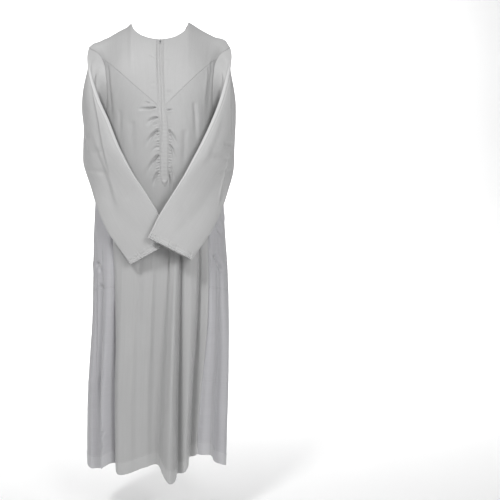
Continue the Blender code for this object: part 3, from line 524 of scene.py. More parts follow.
def drawn_fold(u: Array, v: Array, fold: Pull, root: float = 0.0) -> Array:
    """Shape of one curved crease with raised lips and a soft end.

    Args:
        u: First coordinate of the places, in metres.
        v: Second coordinate of the places, in metres.
        fold: The crease.
        root: How much of the crease is there at its very start.

    Returns:
        The depth at each place, in metres.
    """
    best = np.full(np.shape(u), np.inf)
    where = np.zeros(np.shape(u))
    bend_x = 2.0 * fold.xm - 0.5 * (fold.x0 + fold.x1)
    bend_z = 2.0 * fold.zm - 0.5 * (fold.z0 + fold.z1)
    for share in np.linspace(0.0, 1.0, FOLD_STEPS):
        keep, bend, far = (1.0 - share) ** 2, 2.0 * share * (1.0 - share), share**2
        x = keep * fold.x0 + bend * bend_x + far * fold.x1
        z = keep * fold.z0 + bend * bend_z + far * fold.z1
        away = np.hypot(u - x, v - z)
        best, where = np.minimum(best, away), np.where(away < best, share, where)
    reach = fold.root + (fold.end - fold.root) * where
    near = best / reach
    shape = (1.0 + LIP_HEIGHT) * bell(near) - LIP_HEIGHT * bell(near / LIP_SPREAD)
    return fold.depth * shape * ease(FOLD_RISE * where + root) * ease(FOLD_FADE * (1.0 - where))


def trough(u: Array, v: Array, line: Sequence[float], reach: float) -> Array:
    """Shape of one soft crease: 1 along its line and 0 away from it.

    Args:
        u: First coordinate of the places, in metres.
        v: Second coordinate of the places, in metres.
        line: u and v of the start, then of the end.
        reach: Half width of the crease.

    Returns:
        The depth at each place, as a share of the whole.
    """
    u0, v0, u1, v1 = line
    run = np.array([u1 - u0, v1 - v0])
    near = np.clip(((u - u0) * run[0] + (v - v0) * run[1]) / (run @ run), 0.0, 1.0)
    away = np.hypot(u - u0 - near * run[0], v - v0 - near * run[1])
    ends = ease(TROUGH_RISE * near + TROUGH_START) * ease(TROUGH_FADE * (1.0 - near))
    return ends * bell(away / reach)


@dataclass(frozen=True)
class Crumple:
    """Shallow unevenness of hanging cloth, the same on every run."""

    seed: int
    across: float
    down: float
    depth: float
    cells: int = 64

    def at(self, u: Array, v: Array) -> Array:
        """Height of the uneven cloth.

        Args:
            u: Places across the cloth, in metres.
            v: Places down the cloth, in metres.

        Returns:
            The height at each place.
        """
        lattice = np.random.default_rng(self.seed).uniform(-1.0, 1.0, (self.cells, self.cells))
        x, y = u / self.across, v / self.down
        i, j = np.floor(x).astype(int), np.floor(y).astype(int)
        share_x, share_y = ease(x - i), ease(y - j)
        i0, i1, j0, j1 = i % self.cells, (i + 1) % self.cells, j % self.cells, (j + 1) % self.cells
        low = lattice[i0, j0] * (1 - share_x) + lattice[i1, j0] * share_x
        high = lattice[i0, j1] * (1 - share_x) + lattice[i1, j1] * share_x
        return self.depth * (low * (1 - share_y) + high * share_y)


@dataclass(frozen=True)
class Body:
    """Outer surface of the robe's body, from the hem to the shoulders."""

    hem_z: float = -1.42
    underarm_z: float = -0.300
    neck_half: float = 0.0885
    neck_crown: float = 0.004
    shoulder_half: float = 0.222
    shoulder_y: float = 0.006
    shoulder_tip_z: float = -0.070
    shoulder_turn: float = 2.4
    fullness_power: float = 1.5
    armhole_angle: float = math.radians(72.0)
    front_top: Top = Top(0.057, 0.020, 1.50)
    back_top: Top = Top(0.040, 0.026, 1.80)
    yoke_point_z: float = -0.273
    yoke_slope: float = 0.92
    yoke_bend_x: float = 0.150
    yoke_bend: float = 6.0
    fly_end_z: float = -0.505
    fly_margin: float = 0.001
    fly_clear: float = 0.0130
    fly_column: float = 0.08
    pull_strength: float = 1.9
    pull_root: float = 0.45
    pull_clear: float = 0.0030
    armhole_calm: float = 0.0150
    underarm_calm: float = 0.0600
    gather_reach: float = 0.0042
    gather_depth: float = 0.0034
    gather_left: float = 0.8
    gather_widths: Swing = Swing(0.0021, 0.000315, 3.4, 1.2 - 0.5 * math.pi)
    gather_slopes: Swing = Swing(0.35, 0.1225, 2.1)
    gather_depths: Swing = Swing(0.75, 0.25, 2.9, 0.5 * math.pi)
    gather_lip: float = 0.55
    gather_lip_off: float = 1.9
    gather_top_z: float = -0.262
    gather_full_z: float = -0.325
    gather_fade: float = 0.02
    ripple: Ripple = Ripple(0.0072, 95.0, 0.9, 47.0)
    ripple_height: float = 0.22
    ripple_shift: float = 1.9
    front_focus: float = 6.0
    gather_focus: float = 3.0
    fold_start_width: float = 0.42
    fold_growth: float = 1.25
    line_growth: float = 3.2
    lift_start_z: float = -1.02
    climb_steps: int = 30
    seam_gap: float = 0.0003
    hem_width: float = 0.042
    crumple_radius: float = 0.2
    crumple_clear: float = 0.02
    crumple_top: float = 0.35
    crumples: tuple[Crumple, ...] = (
        Crumple(3, 0.085, 0.240, 0.0016),
        Crumple(11, 0.030, 0.085, 0.0006),
        Crumple(23, 0.012, 0.024, 0.00022),
    )

    @property
    def hem_levels(self) -> Array:
        """Grid levels up the hem, close together at its edge and at its stitching."""
        return self.hem_z + np.array(HEM_LINES)

    def ring(self, angle: Array, z: Array) -> tuple[Array, Array]:
        """Plain body below the underarm: x and y at an angle and level."""
        x = along(SECTIONS, "half_width", z) * np.sin(angle) + along(SECTIONS, "lean", z)
        fore, aft = along(SECTIONS, "front_depth", z), along(SECTIONS, "back_depth", z)
        return x, -np.where(np.cos(angle) >= 0, fore, aft) * np.cos(angle)

    def chest_x(self, angle: Array, armhole_x: Array | float) -> Array:
        """Sideways place above the underarm: outer lines follow the armhole."""
        lateral = np.sin(angle) / math.sin(self.armhole_angle)
        base = ARMHOLE[0].front
        return lateral * (base + (armhole_x - base) * lateral**4)

    def along_shoulder(self, x: Array) -> Array:
        """Share of the way from the neck point to the shoulder's tip."""
        length = self.shoulder_half - self.neck_half
        return np.clip((np.abs(x) - self.neck_half) / length, 0.0, 1.0)

    def shoulder_rise(self, x: Array) -> Array:
        """How much higher than a straight line the top lies at a sideways place."""
        out = self.along_shoulder(x)
        right, left = along(SHOULDERS, "right", out), along(SHOULDERS, "left", out)
        return right + (left - right) * ease(0.5 + 0.5 * x / self.neck_half)

    def top(self, angle: Array, rise: Array, half: Half) -> tuple[Array, Array, Array]:
        """Plain chest or back above the underarm.

        Args:
            angle: Angles round the body.
            rise: 0 at the underarm and 1 on the line of the shoulders.
            half: Half that the places lie on.

        Returns:
            x, y and z of the places.
        """
        shape = self.front_top if half is Half.FRONT else self.back_top
        lateral = np.sin(angle) / math.sin(self.armhole_angle)
        top_x = self.chest_x(angle, self.shoulder_half)
        facing = -np.sign(np.cos(angle))
        out = self.along_shoulder(top_x)
        crown = self.neck_crown * np.clip(1.0 - (top_x / self.neck_half) ** 2, 0.0, 1.0)
        top_z = self.shoulder_tip_z * out + crown + self.shoulder_rise(top_x)
        top_y = facing * self.seam_gap + self.shoulder_y * out
        low_y = self.ring(angle, self.underarm_z)[1]
        hang = (1.0 - np.clip(rise, 0.0, 1.0) ** self.shoulder_turn) ** (1.0 / shape.squareness)
        bow = np.abs(np.sin(math.pi * rise)) ** self.fullness_power
        y = top_y + (low_y - top_y) * hang + facing * shape.fullness * bow * lateral**2
        x = self.chest_x(angle, along(ARMHOLE, half.value, rise))
        return x, y, self.underarm_z + (top_z - self.underarm_z) * rise

    def climb(self, angle: Array, half: Half, edge: Callable[[Array], Array]) -> Array:
        """Level at which lines of the chest or back first meet an edge.

        Args:
            angle: Angles of the lines.
            half: Half that they lie on.
            edge: Height of the edge by sideways place.

        Returns:
            The level on each line.
        """
        top_z = self.top(angle, 1.0, half)[2]
        low, high = np.zeros(np.shape(angle)), np.ones(np.shape(angle))
        for _ in range(self.climb_steps):
            rise = 0.5 * (low + high)
            x = self.chest_x(angle, along(ARMHOLE, half.value, rise))
            beneath = self.underarm_z + (top_z - self.underarm_z) * rise < edge(x)
            low, high = np.where(beneath, rise, low), np.where(beneath, high, rise)
        return self.underarm_z * (1.0 - low)

    def yoke_level(self, angle: Array) -> Array:
        """Level of the V-shaped seam on lines of the chest.

        Args:
            angle: Angles of the lines.

        Returns:
            The level on each line.
        """

        def edge(x: Array) -> Array:
            """Height of the seam at a sideways place."""
            bend = self.yoke_bend * np.maximum(np.abs(x) - self.yoke_bend_x, 0.0) ** 2
            return self.yoke_point_z + self.yoke_slope * np.abs(x) - bend

        return self.climb(angle, Half.FRONT, edge)

    def neck_level(self, angle: Array, half: Half) -> Array:
        """Level of the neck curve and the shoulder seam.

        Args:
            angle: Angles of the lines.
            half: Half that they lie on.

        Returns:
            The level on each line.
        """
        neck_drop = (self.front_top if half is Half.FRONT else self.back_top).neck_drop

        def edge(x: Array) -> Array:
            """Height of the neck curve at a sideways place."""
            arc = np.sqrt(np.clip(1.0 - (x / self.neck_half) ** 2, 0.0, 1.0))
            beyond = self.shoulder_rise(x) * (1.0 - arc) + self.neck_crown * (arc == 0.0)
            return beyond - neck_drop * arc

        return self.climb(angle, half, edge)

    def folds(self, angle: Array, z: Array) -> Array:
        """How far the lengthwise folds move the cloth out.

        Args:
            angle: Angles round the body.
            z: Levels.

        Returns:
            The distance out at each place.
        """
        total = np.zeros(np.shape(angle))
        growths = [self.fold_growth] * len(FOLDS) + [self.line_growth] * len(FINE_FOLDS)
        for fold, growth in zip(FOLDS + FINE_FOLDS, growths):
            fall = np.clip((fold.start_z - z) / (fold.start_z - self.hem_z), 0.0, 1.0)
            centre = np.radians(fold.top_angle + (fold.hem_angle - fold.top_angle) * fall)
            delta = turn_between(angle, centre)
            reach = np.radians(np.where(delta < 0, fold.low_side, fold.high_side))
            reach = reach * (self.fold_start_width + (1.0 - self.fold_start_width) * fall)
            total += fold.swell * ease(fall * growth) * bell(delta / reach)
        return total

    def beside_fly(self, x: Array, z: Array) -> tuple[Array, Array]:
        """Distance outside the edge of the fly, and whether it is the wearer's left of it."""
        off = x - along(CENTRE_DRIFT, "value", z)
        edge = along(FLY, "value", z) + self.fly_margin
        return np.maximum(np.abs(off) - edge, 0.0), off > 0

    def tucks(self, away: Array, z: Array, places: Sequence[float]) -> Array:
        """Small tucks at given heights beside the fly, no two of them alike.

        Args:
            away: Distances from the edge of the fly.
            z: Heights of the places.
            places: Heights of the tucks.

        Returns:
            How deep they sink, as a share of the deepest.
        """
        total = np.zeros(np.shape(z))
        for count, place in enumerate(places):
            off = (z - place + self.gather_slopes.at(count) * away) / self.gather_widths.at(count)
            lip = bell(off) - self.gather_lip * bell(off - self.gather_lip_off)
            total += self.gather_depths.at(count) * lip
        return total

    def gathers(self, x: Array, z: Array) -> Array:
        """How far the fly draws in the cloth beside it: tucks, with a fine ripple between them.

        Args:
            x: Sideways places.
            z: Heights.

        Returns:
            The distance out at each place.
        """
        away, on_left = self.beside_fly(x, z)
        hump = away / self.gather_reach * np.exp(0.5 - 0.5 * (away / self.gather_reach) ** 2)
        right, left = self.tucks(away, z, GATHERS_RIGHT), self.tucks(away, z, GATHERS_LEFT)
        ripple = self.ripple_height * self.ripple.at(z, away, self.ripple_shift * on_left)
        size = ease((self.gather_top_z - z) / (self.gather_top_z - self.gather_full_z))
        size = size * ease((z - self.fly_end_z) / self.gather_fade)
        sunk = np.where(on_left, self.gather_left * left, right)
        return self.gather_depth * hump * (ripple * size - sunk)

    def creases(self, x: Array, z: Array, front: Array) -> Array:
        """How deep the placed creases of the front and the back sink.

        Args:
            x: Sideways places.
            z: Heights.
            front: Whether the places are on the front.

        Returns:
            The depth at each place.
        """
        fore, aft = np.zeros(np.shape(x)), np.zeros(np.shape(x))
        for pull in FRONT_PULLS:
            fore += self.pull_strength * drawn_fold(x, z, pull, self.pull_root)
        for fall in FRONT_FALLS:
            fore += self.pull_strength * drawn_fold(x, z, fall)
        for crease in BACK_CREASES:
            aft += crease.depth * trough(x, z, crease[:4], crease.reach)
        return np.where(front, fore * ease(self.beside_fly(x, z)[0] / self.pull_clear), aft)

    def plain(self, angle: Array, level: Array) -> tuple[Array, Array, Array]:
        """Smooth outer surface of the body, without folds.

        Args:
            angle: Angles round the body.
            level: Levels, as in point.

        Returns:
            x, y and z of the places.
        """
        rise = np.clip(1.0 - level / self.underarm_z, 0.0, 1.0)
        ring_x, ring_y = self.ring(angle, np.minimum(level, self.underarm_z))
        chest, nape = self.top(angle, rise, Half.FRONT), self.top(angle, rise, Half.BACK)
        x, y, z = (np.where(np.cos(angle) >= 0, c, n) for c, n in zip(chest, nape))
        lift = along(HEM_LIFTS, "value", np.degrees(turn_between(angle, 0.0)))
        lift = lift * ease((self.lift_start_z - level) / (self.lift_start_z - self.hem_z))
        upper = level > self.underarm_z
        x, y = np.where(upper, x, ring_x), np.where(upper, y, ring_y)
        z = np.where(upper, z, level + lift)
        return x + along(CENTRE_DRIFT, "value", z) * self.frontness(angle), y, z

    def frontness(self, angle: Array) -> Array:
        """1 at the centre front, fading to 0 at the sides."""
        return np.maximum(np.cos(angle), 0.0) ** self.front_focus

    def relief(self, angle: Array, level: Array, x: Array, z: Array) -> Array:
        """How far folds, creases, gathers and crumples move the cloth out.

        Args:
            angle: Angles round the body.
            level: Levels, as in point.
            x: Sideways places of the plain surface.
            z: Heights of the plain surface.

        Returns:
            The distance out at each place, in metres.
        """
        rise = np.clip(1.0 - level / self.underarm_z, 0.0, 1.0)
        front = np.cos(angle) >= 0
        held = ease((along(ARMHOLE, "front", rise) - np.abs(x)) / self.armhole_calm)
        held = np.maximum(held, ease((self.underarm_z - level) / self.underarm_calm))
        out = self.folds(angle, level) - self.creases(x, z, front) * held
        out = out + self.gathers(x, z) * ease(self.frontness(angle) * self.gather_focus)
        calm = ease(self.beside_fly(x, z)[0] / self.crumple_clear) * front + (~front)
        calm = calm * (self.crumple_top + (1.0 - self.crumple_top) * (1 - rise))
        crumples = sum(crumple.at(angle * self.crumple_radius, z) for crumple in self.crumples)
        return out + crumples * calm

    def point(self, angle: Array, level: Array) -> Array:
        """Outer surface of the body.

        Args:
            angle: Angle round the body, 0 at the centre front and rising to the wearer's left.
            level: z below the underarm, and from there up to 0 on the line of the shoulders.

        Returns:
            Points, with x, y and z on the last axis.
        """
        angle, level = np.broadcast_arrays(np.asarray(angle, float), np.asarray(level, float))
        x, y, z = self.plain(angle, level)
        out = self.relief(angle, level, x, z)
        depth = along(SECTIONS, "front_depth", z) / along(SECTIONS, "half_width", z)
        across, forward = np.sin(angle) * depth, -np.cos(angle)
        size = np.hypot(across, forward)
        return np.stack([x + out * across / size, y + out * forward / size, z], axis=-1)

    def seam_angle(self, seam: Seam, level: Array) -> Array:
        """Angle of a lengthwise seam at a level, in radians."""
        return np.radians(along(SEAM_LINES, seam.value, np.minimum(level, self.underarm_z)))

    def reach(self, level: Array) -> Array:
        """Half width of the body at a level."""
        return along(SECTIONS, "half_width", np.minimum(level, self.underarm_z))

    def spread(self, column: Array, far_angle: Array, level: Array) -> Array:
        """Angles of columns of the front, where fly_column follows the edge of the fly.

        Args:
            column: Columns, from -1 to 1.
            far_angle: Angle of column 1.
            level: Levels of the places.

        Returns:
            The angle at each place.
        """
        fly_angle = self.fly_clear / self.reach(level)
        size = np.abs(column)
        share = (size - self.fly_column) / (1.0 - self.fly_column)
        beyond = fly_angle + (far_angle - fly_angle) * share
        within = fly_angle * size / self.fly_column
        return np.sign(column) * np.where(size < self.fly_column, within, beyond)

    @property
    def edge_turn(self) -> float:
        """Half a seam gap, as an angle."""
        return 0.5 * self.seam_gap / SECTIONS[0].half_width


class Link:
    """A shader value that can be used in arithmetic."""

    def __init__(self, recipe: "Recipe", socket: bpy.types.NodeSocket) -> None:
        """Wraps an output socket of a recipe."""
        self.recipe, self.socket = recipe, socket

    def __add__(self, other: "Link | float") -> "Link":
        """Sum of two values."""
        return self.recipe.math("ADD", self, other)

    def __sub__(self, other: "Link | float") -> "Link":
        """Difference of two values."""
        return self.recipe.math("SUBTRACT", self, other)

    def __rsub__(self, other: "Link | float") -> "Link":
        """Difference, where the number stands first."""
        return self.recipe.math("SUBTRACT", other, self)

    def __mul__(self, other: "Link | float") -> "Link":
        """Product of two values."""
        return self.recipe.math("MULTIPLY", self, other)

    __radd__ = __add__
    __rmul__ = __mul__


class Recipe:
    """Node tree of one material."""

    def __init__(self, name: str) -> None:
        """Starts a material with an empty tree."""
        self.material = bpy.data.materials.new(name)
        self.material.use_nodes = True
        self.tree = self.material.node_tree
        self.tree.nodes.clear()

    def node(
        self, kind: str, settings: dict | None = None, inputs: dict | None = None
    ) -> bpy.types.Node:
        """Adds one node.

        Args:
            kind: Blender's type of the node.
            settings: Properties of the node, set first.
            inputs: Values or links by the name or number of the socket.

        Returns:
            The new node.
        """
        made = self.tree.nodes.new(kind)
        for key, value in (settings or {}).items():
            setattr(made, key, value)
        for key, value in (inputs or {}).items():
            if isinstance(value, Link):
                self.tree.links.new(value.socket, made.inputs[key])
            else:
                made.inputs[key].default_value = value
        return made

    def math(self, operation: str, *values: "Link | float") -> Link:
        """Math node on one or two values."""
        made = self.node("ShaderNodeMath", {"operation": operation}, dict(enumerate(values)))
        return Link(self, made.outputs[0])

    def streaks(self, u: Link, v: Link, yarn: "Yarn") -> Link:
        """Noise from 0 to 1 with the grain of one kind of yarn.

        Args:
            u: Place across the cloth.
            v: Place down the cloth.
            yarn: Size of its grain.

        Returns:
            The noise.
        """
        place = self.node(
            "ShaderNodeCombineXYZ", None, {0: u * (1.0 / yarn.across), 1: v * (1.0 / yarn.down)}
        )
        return self.noise(Link(self, place.outputs[0]), 1.0, yarn.detail)

    def noise(self, place: Link, scale: float, detail: float) -> Link:
        """Noise from 0 to 1."""
        inputs = {"Vector": place, "Scale": scale, "Detail": detail}
        return Link(self, self.node("ShaderNodeTexNoise", None, inputs).outputs[0])

    def bump(self, height: Link, strength: float, distance: float) -> Link:
        """Directions out of a surface with small bumps."""
        inputs = {"Strength": strength, "Distance": distance, "Height": height}
        return Link(self, self.node("ShaderNodeBump", None, inputs).outputs[0])

    def blend(self, low: "Link | tuple", high: "Link | tuple", share: "Link | float") -> Link:
        """Colour between two colours."""
        made = self.node("ShaderNodeMix", {"data_type": "RGBA"}, {0: share, 6: low, 7: high})
        return Link(self, made.outputs[2])

    def attribute(self, name: str) -> Link:
        """Number that the mesh holds at each point."""
        made = self.node("ShaderNodeAttribute", {"attribute_name": name})
        return Link(self, made.outputs["Fac"])

    def finish(self, constants: dict, varying: dict) -> bpy.types.Material:
        """Ends the tree in a shader.

        Args:
            constants: Values of the shader's sockets that are the same all over.
            varying: Links for the sockets that change over the surface.

        Returns:
            The material.
        """
        shader = self.node("ShaderNodeBsdfPrincipled", None, {**constants, **varying})
        output = self.node("ShaderNodeOutputMaterial")
        self.tree.links.new(shader.outputs[0], output.inputs["Surface"])
        return self.material


Colour = tuple[float, float, float, float]


class Yarn(NamedTuple):
    """Grain of one kind of yarn: its size both ways, and its share of tint and relief."""

    across: float
    down: float
    tint: float
    relief: float = 0.0
    detail: float = 2.0


@dataclass(frozen=True)
class ClothFinish:
    """Light suiting with a satin face: twill lines, uneven yarns and a soft sheen."""

    name: str
    base: Colour
    slub: Colour
    grain: Grain = Grain.DOWN
    roughness: float = 0.52
    roughness_spread: float = 0.10
    sheen: float = 0.18
    sheen_roughness: float = 0.45
    warp: Yarn = Yarn(0.0008, 0.030, 0.40, 0.50)
    weft: Yarn = Yarn(0.024, 0.0008, 0.25, 0.40)
    slubs: Yarn = Yarn(0.0045, 0.180, 0.55, detail=3.0)
    haze: Yarn = Yarn(0.110, 0.160, 0.50)
    tint_base: float = 0.35
    twill_pitch: float = 0.0012
    twill_slant: float = 0.55
    twill_relief: float = 0.20
    bump_strength: float = 0.35
    relief: float = 0.00022
    hem_colour: Colour = (0.80, 0.80, 0.80, 1.0)
    hem_share: float = 0.16
    # Painted highlight: a lighter colour blended in along the pressed sleeve crease; press_polish
    # only makes the cloth smoother there.
    painted_highlight_colour: Colour = (0.86, 0.86, 0.86, 1.0)
    painted_highlight_share: float = 0.34
    press_polish: float = 0.08

    def material(self) -> bpy.types.Material:
        """Builds the cloth's material.

        Returns:
            The material.
        """
        recipe = Recipe(self.name)
        cut = Link(recipe, recipe.node("ShaderNodeUVMap", {"uv_map": "cut"}).outputs[0])
        parts = recipe.node("ShaderNodeSeparateXYZ", None, {0: cut})
        u, v = Link(recipe, parts.outputs[0]), Link(recipe, parts.outputs[1])
        if self.grain is Grain.ACROSS:
            u, v = v, u
        yarns = (self.warp, self.weft, self.slubs, self.haze)
        warp, weft, slubs, haze = (recipe.streaks(u, v, yarn) for yarn in yarns)
        twill = recipe.math("SINE", (u + v * self.twill_slant) * (TURN / self.twill_pitch))
        tint = warp * self.warp.tint + weft * self.weft.tint
        tint = tint + slubs * self.slubs.tint + haze * self.haze.tint - self.tint_base
        band, press_and_highlight = recipe.attribute("band"), recipe.attribute("press_and_highlight")
        colour = recipe.blend(self.base, self.slub, tint)
        colour = recipe.blend(colour, self.hem_colour, band * self.hem_share)
        # Painted highlight: the pressed strip along the sleeve crease is lightened in colour.
        colour = recipe.blend(colour, self.painted_highlight_colour, press_and_highlight * self.painted_highlight_share)
        height = twill * self.twill_relief + warp * self.warp.relief + weft * self.weft.relief
        spread = (weft - 0.5) * self.roughness_spread
        varying = {
            "Base Color": colour,
            "Roughness": self.roughness + spread - press_and_highlight * self.press_polish,
            "Normal": recipe.bump(height, self.bump_strength, self.relief),
        }
        constants = {
            "Sheen Weight": self.sheen,
            "Sheen Roughness": self.sheen_roughness,
            "Metallic": 0.0,
        }
        return recipe.finish(constants, varying)


@dataclass(frozen=True)
class PlainFinish:
    """Thread, cotton pocketing, zip metal or a painted floor: one colour with a fine grain."""

    name: str
    base: Colour
    shade: Colour
    grain: float
    roughness: float
    metallic: float = 0.0
    detail: float = 3.0
    roughness_spread: float = 0.12
    bump_strength: float = 0.3
    relief: float = 0.0002

    def material(self) -> bpy.types.Material:
        """Builds the material.

        Returns:
            The material.
        """
        recipe = Recipe(self.name)
        place = Link(recipe, recipe.node("ShaderNodeTexCoord").outputs["Object"])
        noise = recipe.noise(place, 1.0 / self.grain, self.detail)
        varying = {
            "Base Color": recipe.blend(self.base, self.shade, noise),
            "Roughness": self.roughness + (noise - 0.5) * self.roughness_spread,
            "Normal": recipe.bump(noise, self.bump_strength, self.relief),
        }
        return recipe.finish({"Metallic": self.metallic}, varying)


class Path(NamedTuple):
    """Line on the face of the cloth, with the direction out of the cloth at each point."""

    points: Array
    normals: Array


def mesh_object(
    name: str, points: Array, faces: Sequence[Sequence[int]], material: bpy.types.Material
) -> bpy.types.Object:
    """Makes a smooth mesh object.

    Args:
        name: Name of the object.
        points: Vertices, one row each.
        faces: Vertex numbers of each face.
        material: Finish of the whole mesh.

    Returns:
        The new object, linked to the scene.
    """
    mesh = bpy.data.meshes.new(name)
    mesh.from_pydata(points.tolist(), [], [list(map(int, face)) for face in faces])
    mesh.shade_smooth()
    mesh.materials.append(material)
    made = bpy.data.objects.new(name, mesh)
    bpy.context.scene.collection.objects.link(made)
    return made


def tube_faces(rings: int, around: int) -> Array:
    """Quads of a tube of rings.

    Args:
        rings: Number of rings.
        around: Number of points of a ring.

    Returns:
        Vertex numbers, one row for each quad.
    """
    low = around * np.arange(rings - 1)[:, None]
    here = np.arange(around)[None]
    after = (here + 1) % around
    corners = [low + here, low + after, low + around + after, low + around + here]
    return np.stack(corners, axis=-1).reshape(-1, 4)


@dataclass
class Cut:
    """A cut piece of cloth as a grid of points, from its low edge to its top edge."""

    name: str
    points: Array
    wrap: bool = False
    thickness: float = 0.0006
    hem_height: float = 0.0005
    hem_roll: float = 0.0008
    hem_roll_reach: float = 0.0012
    hem_fade: float = 0.0025
    hem_row: float = 0.002
    bands: dict[str, Array] = field(default_factory=dict)

    def normals(self) -> Array:
        """Directions out of the cloth.

        Returns:
            The direction at each of the grid's points.
        """
        grid = self.points
        if self.wrap:
            across = np.roll(grid, -1, axis=1) - np.roll(grid, 1, axis=1)
        else:
            across = np.gradient(grid, axis=1)
        normal = np.cross(across, np.gradient(grid, axis=0))
        return normal / np.maximum(np.linalg.norm(normal, axis=-1, keepdims=True), TINY)

    def away_from(self, edge: Edge) -> Array:
        """Distance along the cloth from an edge.

        Args:
            edge: Edge to measure from.

        Returns:
            The distance of each point.
        """
        axis, far = edge.value
        steps = np.linalg.norm(np.diff(self.points, axis=axis), axis=-1)
        start = np.zeros_like(steps.take([0], axis))
        total = np.concatenate([start, np.cumsum(steps, axis=axis)], axis=axis)
        return total.take([-1], axis) - total if far else total

    def raise_by(self, height: Array) -> None:
        """Moves the cloth out by a height at each point."""
        self.points = self.points + self.normals() * height[..., None]

    def tuck(
        self, edges: Sequence[Edge], depth: Array | float = 0.0009, reach: float = 0.0016
    ) -> None:
        """Rolls the cloth in along edges, as a sewn or turned edge does."""
        near = sum(bell(self.away_from(edge) / reach) for edge in edges)
        self.raise_by(-depth * np.minimum(near, 1.0))

    def step(self, edge: Edge, width: float, height: float) -> None:
        """Raises the doubled cloth of a hem of the given width along an edge."""
        over = ease((width - self.away_from(edge)) / self.hem_fade + 0.5)
        self.raise_by(height * over)
        self.bands["band"] = np.maximum(self.bands.get("band", 0.0), over)

    def hem(self, width: float) -> Path:
        """Turns up a hem along the low edge.

        Args:
            width: Width of the hem.

        Returns:
            Line of its stitching.
        """
        self.step(Edge.LOW, width, self.hem_height)
        self.tuck([Edge.LOW], self.hem_roll, self.hem_roll_reach)
        return self.beside(Edge.LOW, width - self.hem_row)

    def trace(self, rows: Array, columns: Array) -> Path:
        """Path through the grid.

        Args:
            rows: Rows, with fractions.
            columns: Columns, with fractions.

        Returns:
            The path.
        """
        last_row, last_column = self.points.shape[0] - 1, self.points.shape[1] - 1
        i = np.clip(rows, 0, last_row - 1).astype(int)
        j = np.clip(columns, 0, last_column - 1).astype(int)
        a, b = (rows - i)[:, None], (columns - j)[:, None]
        found = []
        for grid in (self.points, self.normals()):
            low = grid[i, j] * (1 - b) + grid[i, j + 1] * b
            high = grid[i + 1, j] * (1 - b) + grid[i + 1, j + 1] * b
            found.append(low * (1 - a) + high * a)
        return Path(*found)

    def beside(self, edge: Edge, distance: float) -> Path:
        """Path at one distance from an edge.

        Args:
            edge: The edge.
            distance: How far the path runs from it.

        Returns:
            The path.
        """
        away = self.away_from(edge)
        axis = edge.value[0]
        lines = away if axis else away.T
        order = -1 if edge.value[1] else 1
        index = np.arange(lines.shape[1], dtype=float)[::order]
        where = np.array([np.interp(distance, line[::order], index) for line in lines])
        other = np.arange(len(lines), dtype=float)
        return self.trace(other, where) if axis else self.trace(where, other)

    def cut_places(self) -> Array:
        """Place of each point on the flat cloth, in metres."""
        across = self.away_from(Edge.FIRST)
        middle = across.shape[1] // 2
        down = np.broadcast_to(self.away_from(Edge.LOW)[:, [middle]], across.shape)
        return np.stack([across - across[:, [middle]], down], axis=-1)

    def quads(self, keep: Array | None = None) -> Array:
        """Faces of the grid, wound to face outwards.

        Args:
            keep: Which cells of the grid are cloth, or all of them.

        Returns:
            Vertex numbers, one row for each face.
        """
        rows, columns = self.points.shape[:2]
        row = np.arange(rows - 1)[:, None]
        column = np.arange(columns if self.wrap else columns - 1)[None, :]
        following = (column + 1) % columns
        a, b = row * columns + column, row * columns + following
        faces = np.stack([a, b, b + columns, a + columns], axis=-1)
        return (faces if keep is None else faces[keep]).reshape(-1, 4)

    def sew(
        self, material: bpy.types.Material, slot: str, node: str, keep: Array | None = None
    ) -> bpy.types.Object:
        """Makes the piece of cloth.

        Args:
            material: Its finish.
            slot: Not used.
            node: CAD node that it replaces.
            keep: Which cells of the grid are cloth, or all of them.

        Returns:
            The shell of cloth, riding on the root body.
        """
        faces = self.quads(keep)
        made = mesh_object(self.name, self.points.reshape(-1, 3), faces, material)
        layer = made.data.uv_layers.new(name="cut")
        places = self.cut_places().reshape(-1, 2)
        if self.wrap:
            places = self.wrapped_places(faces, places)
        else:
            places = places[faces.ravel()]
        layer.data.foreach_set("uv", places.astype(np.float32).ravel())
        # Per-point masks: the doubled hem band, and the pressed crease strip, which carries a
        # painted highlight.
        for name in ("band", "press_and_highlight"):
            values = np.broadcast_to(self.bands.get(name, 0.0), self.points.shape[:2])
            attribute = made.data.attributes.new(name, "FLOAT", "POINT")
            attribute.data.foreach_set("value", values.astype(np.float32).ravel())
        shell = made.modifiers.new("thickness", "SOLIDIFY")
        shell.thickness, shell.offset = self.thickness, -1.0
        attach(made, ROOT)
        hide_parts(node)
        log.info("%s: %d faces", self.name, len(faces))
        return made

    def wrapped_places(self, faces: Array, places: Array) -> Array:
        """Flat places of a tube's face corners, where the last column joins the first.

        Args:
            faces: Vertex numbers of the faces.
            places: Flat place of each vertex.

        Returns:
            Flat place of each corner.
        """
        columns = self.points.shape[1]
        closing = np.linalg.norm(self.points[:, -1] - self.points[:, 0], axis=-1)
        full = self.away_from(Edge.FIRST)[:, -1] + closing
        corners = places[faces.ravel()].reshape(-1, 4, 2)
        last = faces[:, 0] % columns == columns - 1
        for corner in (1, 2):
            row = faces[last, corner] // columns
            corners[last, corner, 0] += full[row]
        return corners.reshape(-1, 2)


